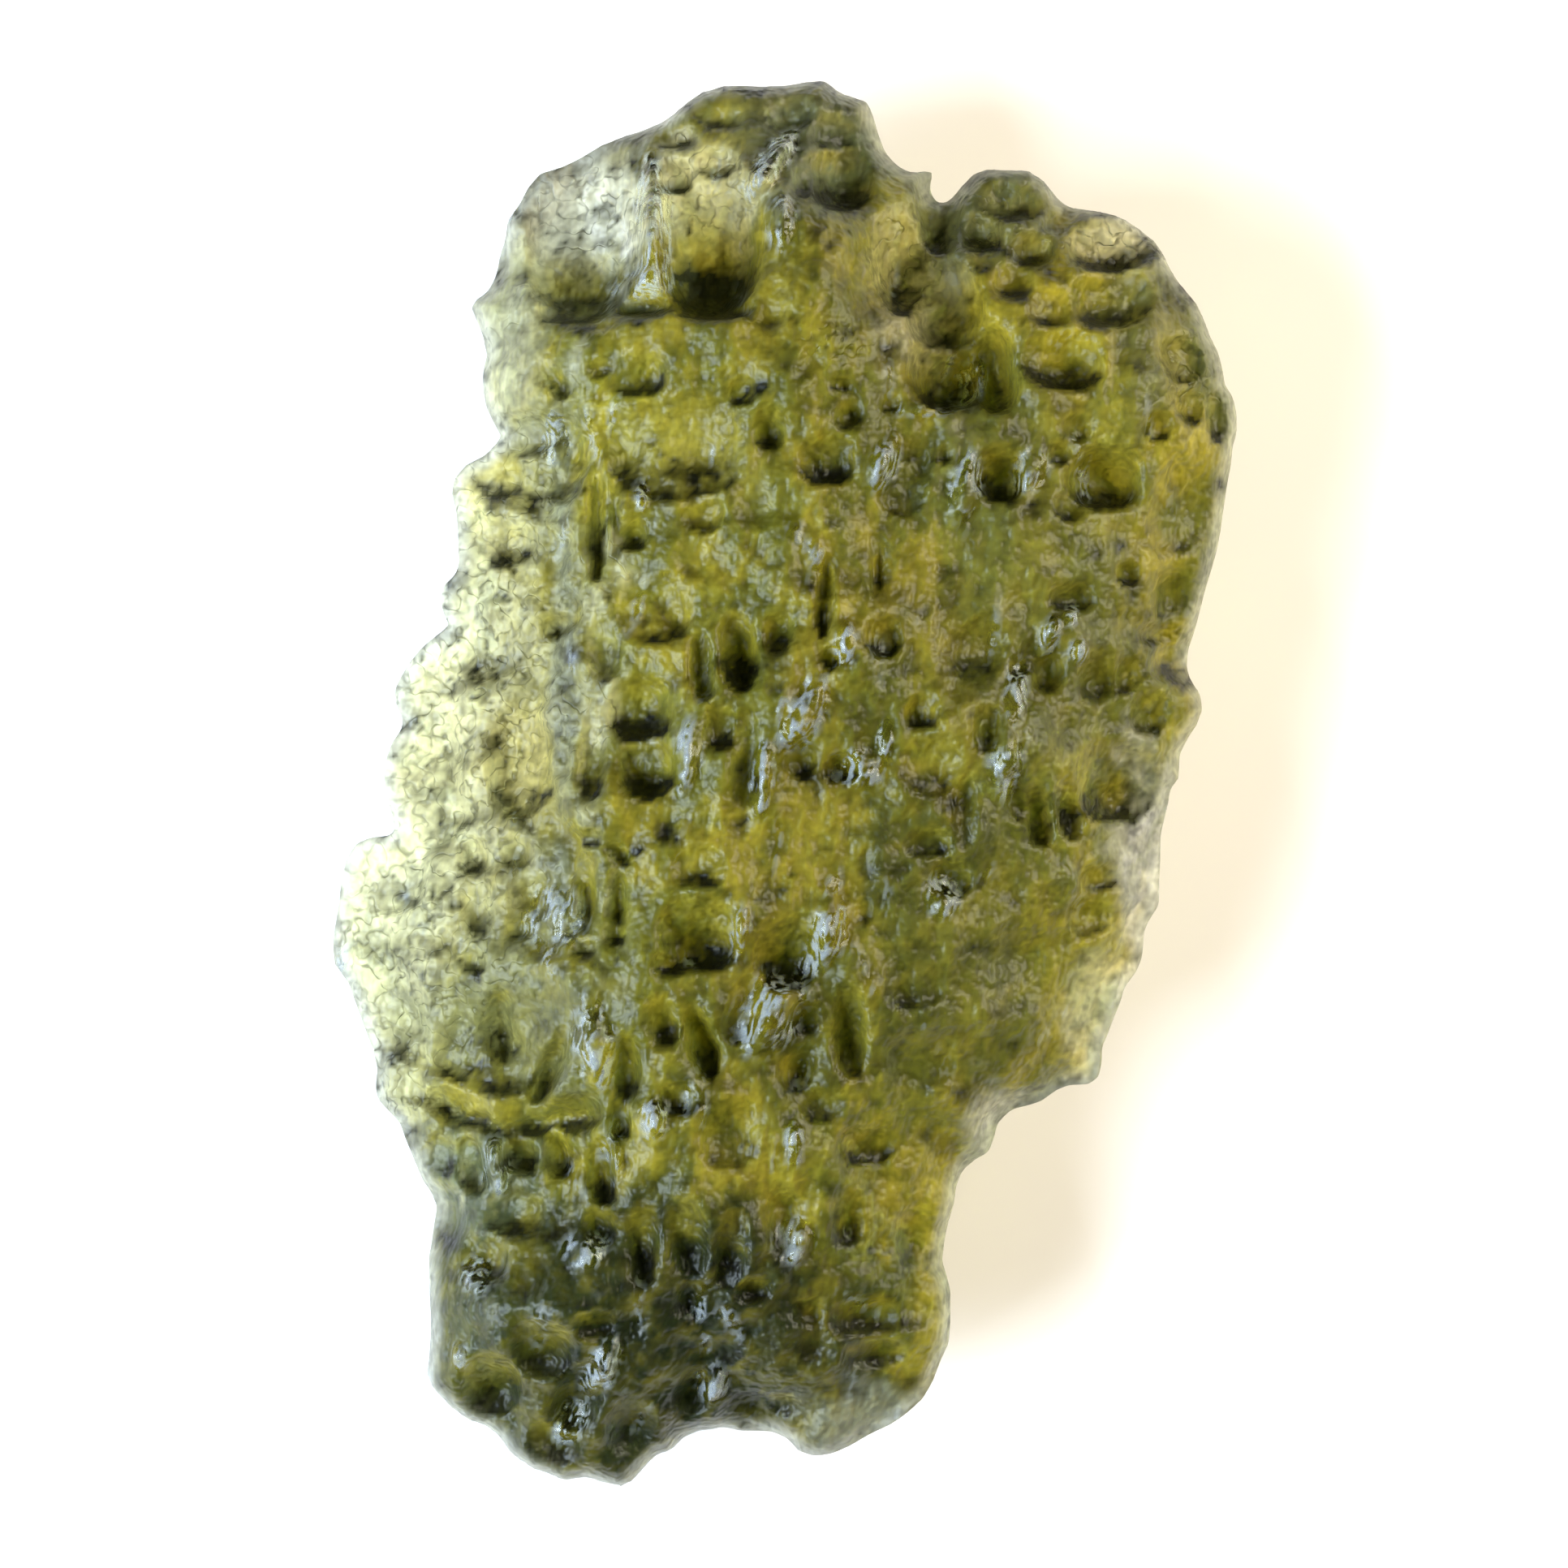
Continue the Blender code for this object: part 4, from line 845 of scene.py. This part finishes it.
def buildStone():
    # a filled outline pushed up to a slab, then an even fine mesh
    deselectAll()
    bpy.ops.mesh.primitive_circle_add(vertices=len(rimPoints), radius=10 * mm, fill_type="NGON")
    piece = bpy.context.object
    piece.name = "moldaviteStone"
    for vertex, (x, y) in zip(piece.data.vertices, rimPoints):
        vertex.co = (x * mm, y * mm, -stone["slabHalf"] * mm)
    bpy.ops.object.mode_set(mode="EDIT")
    bpy.ops.mesh.select_all(action="SELECT")
    bpy.ops.mesh.quads_convert_to_tris()
    bpy.ops.mesh.extrude_region_move(TRANSFORM_OT_translate={"value": (0, 0, 2 * stone["slabHalf"] * mm)})
    bpy.ops.mesh.select_all(action="SELECT")
    bpy.ops.mesh.normals_make_consistent(inside=False)
    bpy.ops.object.mode_set(mode="OBJECT")
    applyModifier(piece, "REMESH", mode="VOXEL", voxel_size=stone["voxel"] * mm)
    print("stone: even mesh of", len(piece.data.polygons), "faces")

    # each vertex moves up or down to its face, by its share of the slab's half-thickness
    count = len(piece.data.vertices)
    points = np.empty(count * 3)
    piece.data.vertices.foreach_get("co", points)
    points = points.reshape(-1, 3) / mm
    place = points[:, :2].copy()
    distance = rimDistance(place)
    share = np.clip(points[:, 2] / stone["slabHalf"], -1, 1)
    above, below = share > 0, share <= 0
    middle = stone["middleHeight"] + uneven(place, "rimWander")
    height, soilAndShade = np.zeros(count), np.zeros(count)
    height[above], soilAndShade[above] = upperFace(place[above], distance[above])
    height[below], soilAndShade[below] = lowerFace(place[below], distance[below], middle[below])
    points[:, 2] = middle + share * height
    piece.data.vertices.foreach_set("co", (points * mm).ravel())
    piece.data.update()
    print("stone: shaped,", len(piece.data.polygons), "faces")

    # painted shade and light by which way each slope faces
    soilAndShade += slopeShading(piece)
    colours = np.empty((count, 4))
    colours[above] = skinTint(points[above], distance[above], soilAndShade[above], skin["noiseAbove"])
    colours[below] = skinTint(points[below], distance[below], soilAndShade[below], skin["noiseBelow"])
    polishGlintMap = piece.data.attributes.new("polishAndGlint", "FLOAT", "POINT")
    polishGlintMap.data.foreach_set("value", polishAndGlint(place))
    skinMap = piece.data.color_attributes.new("skinTint", "FLOAT_COLOR", "POINT")
    skinMap.data.foreach_set("color", colours.ravel())
    applyModifier(piece, "SMOOTH", factor=stone["smoothing"], iterations=1)
    bpy.ops.object.shade_smooth()

    low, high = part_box("moldavite")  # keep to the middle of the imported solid
    corners = [Vector(corner) for corner in piece.bound_box]
    shiftX = (low.x + high.x) / 2 - (min(c.x for c in corners) + max(c.x for c in corners)) / 2
    shiftY = (low.y + high.y) / 2 - (min(c.y for c in corners) + max(c.y for c in corners)) / 2
    for vertex in piece.data.vertices:
        vertex.co.x += shiftX
        vertex.co.y += shiftY
    print("stone: tinted, polished and in place")
    return piece


def naturalEtchedGlass():
    # moldavite: olive natural glass whose skin was etched in the soil. Clear inside, so thin rims glow pale
    # and the thick middle goes deep olive. The etched skin is wavy, with fine flow lines along the stone.
    material, tree = newMaterial("naturalEtchedGlass")
    place = addNode(tree, "ShaderNodeTexCoord")
    skinMap = addNode(tree, "ShaderNodeVertexColor", {"layer_name": "skinTint"})
    polishGlintMap = addNode(tree, "ShaderNodeAttribute", {"attribute_name": "polishAndGlint"})
    stretch = addNode(tree, "ShaderNodeMapping",
                      {"vector_type": "TEXTURE", "Rotation": (0, 0, -0.2), "Scale": (1, 7.5, 1)},
                      {"Vector": (place, "Object")})

    # flow lines about 0.15 mm apart, lumps of 0.3 mm down to grains of 0.15 mm,
    # and where the skin is frosted short winding wrinkles, broken up by the lumps
    flow = addNode(tree, "ShaderNodeTexNoise", {"Scale": 6500, "Detail": 0}, {"Vector": (stretch, "Vector")})
    lumps = addNode(tree, "ShaderNodeTexNoise", {"Scale": 3400, "Detail": 1, "Roughness": 0.65},
                    {"Vector": (place, "Object")})
    folds = addNode(tree, "ShaderNodeTexNoise", {"Scale": 1900, "Detail": 1}, {"Vector": (place, "Object")})
    fromMiddle = addNode(tree, "ShaderNodeMath", {"operation": "SUBTRACT", 1: 0.5}, {0: (folds, "Fac")})
    wrinkle = addNode(tree, "ShaderNodeMath", {"operation": "ABSOLUTE"}, {0: (fromMiddle, "Value")})
    broken = addNode(tree, "ShaderNodeMath", {"operation": "MULTIPLY_ADD", 1: 0.15},
                     {0: (lumps, "Fac"), 2: (wrinkle, "Value")})
    lines = addNode(tree, "ShaderNodeMapRange", {"From Min": 0.06, "From Max": 0.12},
                    {"Value": (broken, "Value")})
    cracks = addNode(tree, "ShaderNodeMath", {"operation": "MULTIPLY"},
                     {0: (lines, "Result"), 1: (skinMap, "Alpha")})
    flowShare = addNode(tree, "ShaderNodeMath", {"operation": "MULTIPLY_ADD", 1: 0.28},
                        {0: (flow, "Fac"), 2: (lumps, "Fac")})
    relief = addNode(tree, "ShaderNodeMath", {"operation": "MULTIPLY_ADD", 1: 0.35},
                     {0: (cracks, "Value"), 2: (flowShare, "Value")})
    etchedRelief = addNode(tree, "ShaderNodeBump", {"Strength": 1.0, "Distance": 0.0001},
                           {"Height": (relief, "Value")})

    # painted shade: the wrinkles, the low flow lines and the hollows between lumps are tinted darker, and
    # the lumps a little lighter
    lineTint = addNode(tree, "ShaderNodeMapRange", {"To Min": 0.45, "To Max": 1.0},
                       {"Value": (lines, "Result")})
    crackled = addNode(tree, "ShaderNodeMix", {"data_type": "FLOAT", "A": 1.0},
                       {"Factor": (skinMap, "Alpha"), "B": (lineTint, "Result")})
    hollows = addNode(tree, "ShaderNodeMapRange",
                      {"From Min": 0.32, "From Max": 0.64, "To Min": 0.74, "To Max": 1.15},
                      {"Value": (lumps, "Fac")})
    striae = addNode(tree, "ShaderNodeMapRange",
                     {"From Min": 0.3, "From Max": 0.55, "To Min": 0.84, "To Max": 1.0},
                     {"Value": (flow, "Fac")})
    hollowShade = addNode(tree, "ShaderNodeMath", {"operation": "MULTIPLY"},
                   {0: (striae, "Result"), 1: (hollows, "Result")})
    shade = addNode(tree, "ShaderNodeMath", {"operation": "MULTIPLY"},
                    {0: (crackled, 0), 1: (hollowShade, "Value")})
    shadedTint = addNode(tree, "ShaderNodeVectorMath", {"operation": "SCALE"},
                     {"Vector": (skinMap, "Color"), "Scale": (shade, "Value")})

    # painted glints: the fire-polished facets get a silvery tint in short dashes along their flow lines
    dashes = addNode(tree, "ShaderNodeMath", {"operation": "ADD"}, {0: (flow, "Fac"), 1: (lumps, "Fac")})
    glintLines = addNode(tree, "ShaderNodeMapRange", {"From Min": 0.94, "From Max": 1.12, "To Max": 0.85},
                          {"Value": (dashes, "Value")})
    paintedGlint = addNode(tree, "ShaderNodeMath", {"operation": "MULTIPLY"},
                     {0: (glintLines, "Result"), 1: (polishGlintMap, "Fac")})
    tint = addNode(tree, "ShaderNodeMix", {"data_type": "RGBA", 7: linear("#DCEAF2")},
                   {0: (paintedGlint, "Value"), 6: (shadedTint, "Vector")})
    rough = addNode(tree, "ShaderNodeMapRange", {"To Min": 0.42, "To Max": 0.12},
                    {"Value": (polishGlintMap, "Fac")})

    # a dim specular tint keeps the etched skin from veiling the colour with grey;
    # part of the light passes, part comes back from the frosted surface
    etched = addNode(tree, "ShaderNodeBsdfPrincipled",
                     {"Transmission Weight": 0.76, "IOR": 1.49, "Specular IOR Level": 0.2,
                      "Specular Tint": (0.42, 0.45, 0.42, 1.0)},
                     {"Base Color": (tint, 2), "Roughness": (rough, "Result"),
                      "Normal": (etchedRelief, "Normal")})
    inside = addNode(tree, "ShaderNodeVolumeAbsorption",
                     {"Color": (0.71, 0.75, 0.24, 1.0), "Density": 165.0})
    addNode(tree, "ShaderNodeOutputMaterial", None,
            {"Surface": (etched, "BSDF"), "Volume": (inside, "Volume")})
    print("glass: etched skin and absorption")
    return material


board = {"size": 1.6, "colour": "#EFEDE6", "roughness": 0.75}  # size in metres


def palePaintedBoard():
    # matte white-painted board under the stone, without gloss
    material, tree = newMaterial("palePaintedBoard")
    paint = addNode(tree, "ShaderNodeBsdfPrincipled",
                    {"Base Color": linear(board["colour"]), "Roughness": board["roughness"]})
    addNode(tree, "ShaderNodeOutputMaterial", None, {"Surface": (paint, "BSDF")})
    return material


def buildFloor():
    deselectAll()
    bpy.ops.mesh.primitive_plane_add(size=board["size"], location=(0, 0, 0))
    floor = bpy.context.object
    floor.name = "paleFloor"
    floor.data.materials.append(palePaintedBoard())
    print("floor: pale board")


def addSoftLight(name, place, target, size, power, colour):
    deselectAll()
    bpy.ops.object.light_add(type="AREA", location=[v * mm for v in place])
    light = bpy.context.object
    light.name = name
    light.data.shape = "RECTANGLE"
    light.data.size, light.data.size_y = size[0] * mm, size[1] * mm
    light.data.energy = power
    light.data.color = linear(colour)[:3]
    aim = Vector(target) * mm - light.location
    light.rotation_euler = aim.to_track_quat("-Z", "Y").to_euler()


# two soft boxes, in mm and watts: a cool one to the left and a little below, as in the photo,
# and a weaker warm one on the other side
lighting = {
    "key": {"place": (-115, -35, 85), "target": (0, 0, 2), "size": (110, 90),
            "power": 0.76, "colour": "#E0ECFF"},
    "fill": {"place": (110, 40, 75), "target": (0, 0, 0), "size": (90, 80),
             "power": 0.36, "colour": "#FFF3E2"},
    "world": "#8C8F92",
    "worldStrength": 0.09,
}


def buildLights():
    for name in ("key", "fill"):
        addSoftLight(name + "SoftBox", **lighting[name])
    world = bpy.data.worlds.new("studio")
    bpy.context.scene.world = world
    world.use_nodes = True
    background = world.node_tree.nodes["Background"]
    background.inputs["Color"].default_value = linear(lighting["world"])
    background.inputs["Strength"].default_value = lighting["worldStrength"]
    print("lights: key, fill and a dim studio")


# all in mm; the width is that of the photo at the height of the stone's rim
camera = {"lens": 100.0, "frameWidth": 38.64, "sensor": 36.0, "nearest": 1.0, "farthest": 10000.0}


def buildCamera():
    distance = camera["frameWidth"] * camera["lens"] / camera["sensor"]
    bpy.ops.object.camera_add(location=(0, 0, (stone["middleHeight"] + distance) * mm))
    view = bpy.context.object
    view.name = "photoCamera"
    view.rotation_euler = (0, 0, 0)  # straight down
    view.data.lens = camera["lens"]
    view.data.sensor_width = camera["sensor"]
    view.data.clip_start = camera["nearest"] * mm
    view.data.clip_end = camera["farthest"] * mm
    bpy.context.scene.camera = view
    print("camera: straight above,", round(distance), "mm from the rim's height")


buildCamera()
buildLights()
buildFloor()
piece = buildStone()
piece.data.materials.append(naturalEtchedGlass())
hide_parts("moldavite")
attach(piece, "root")

bpy.context.scene.view_settings.view_transform = "Standard"
bounces = {"max_bounces": 5, "transmission_bounces": 5, "diffuse_bounces": 1, "glossy_bounces": 2}
for kind, most in bounces.items():
    setattr(bpy.context.scene.cycles, kind, most)
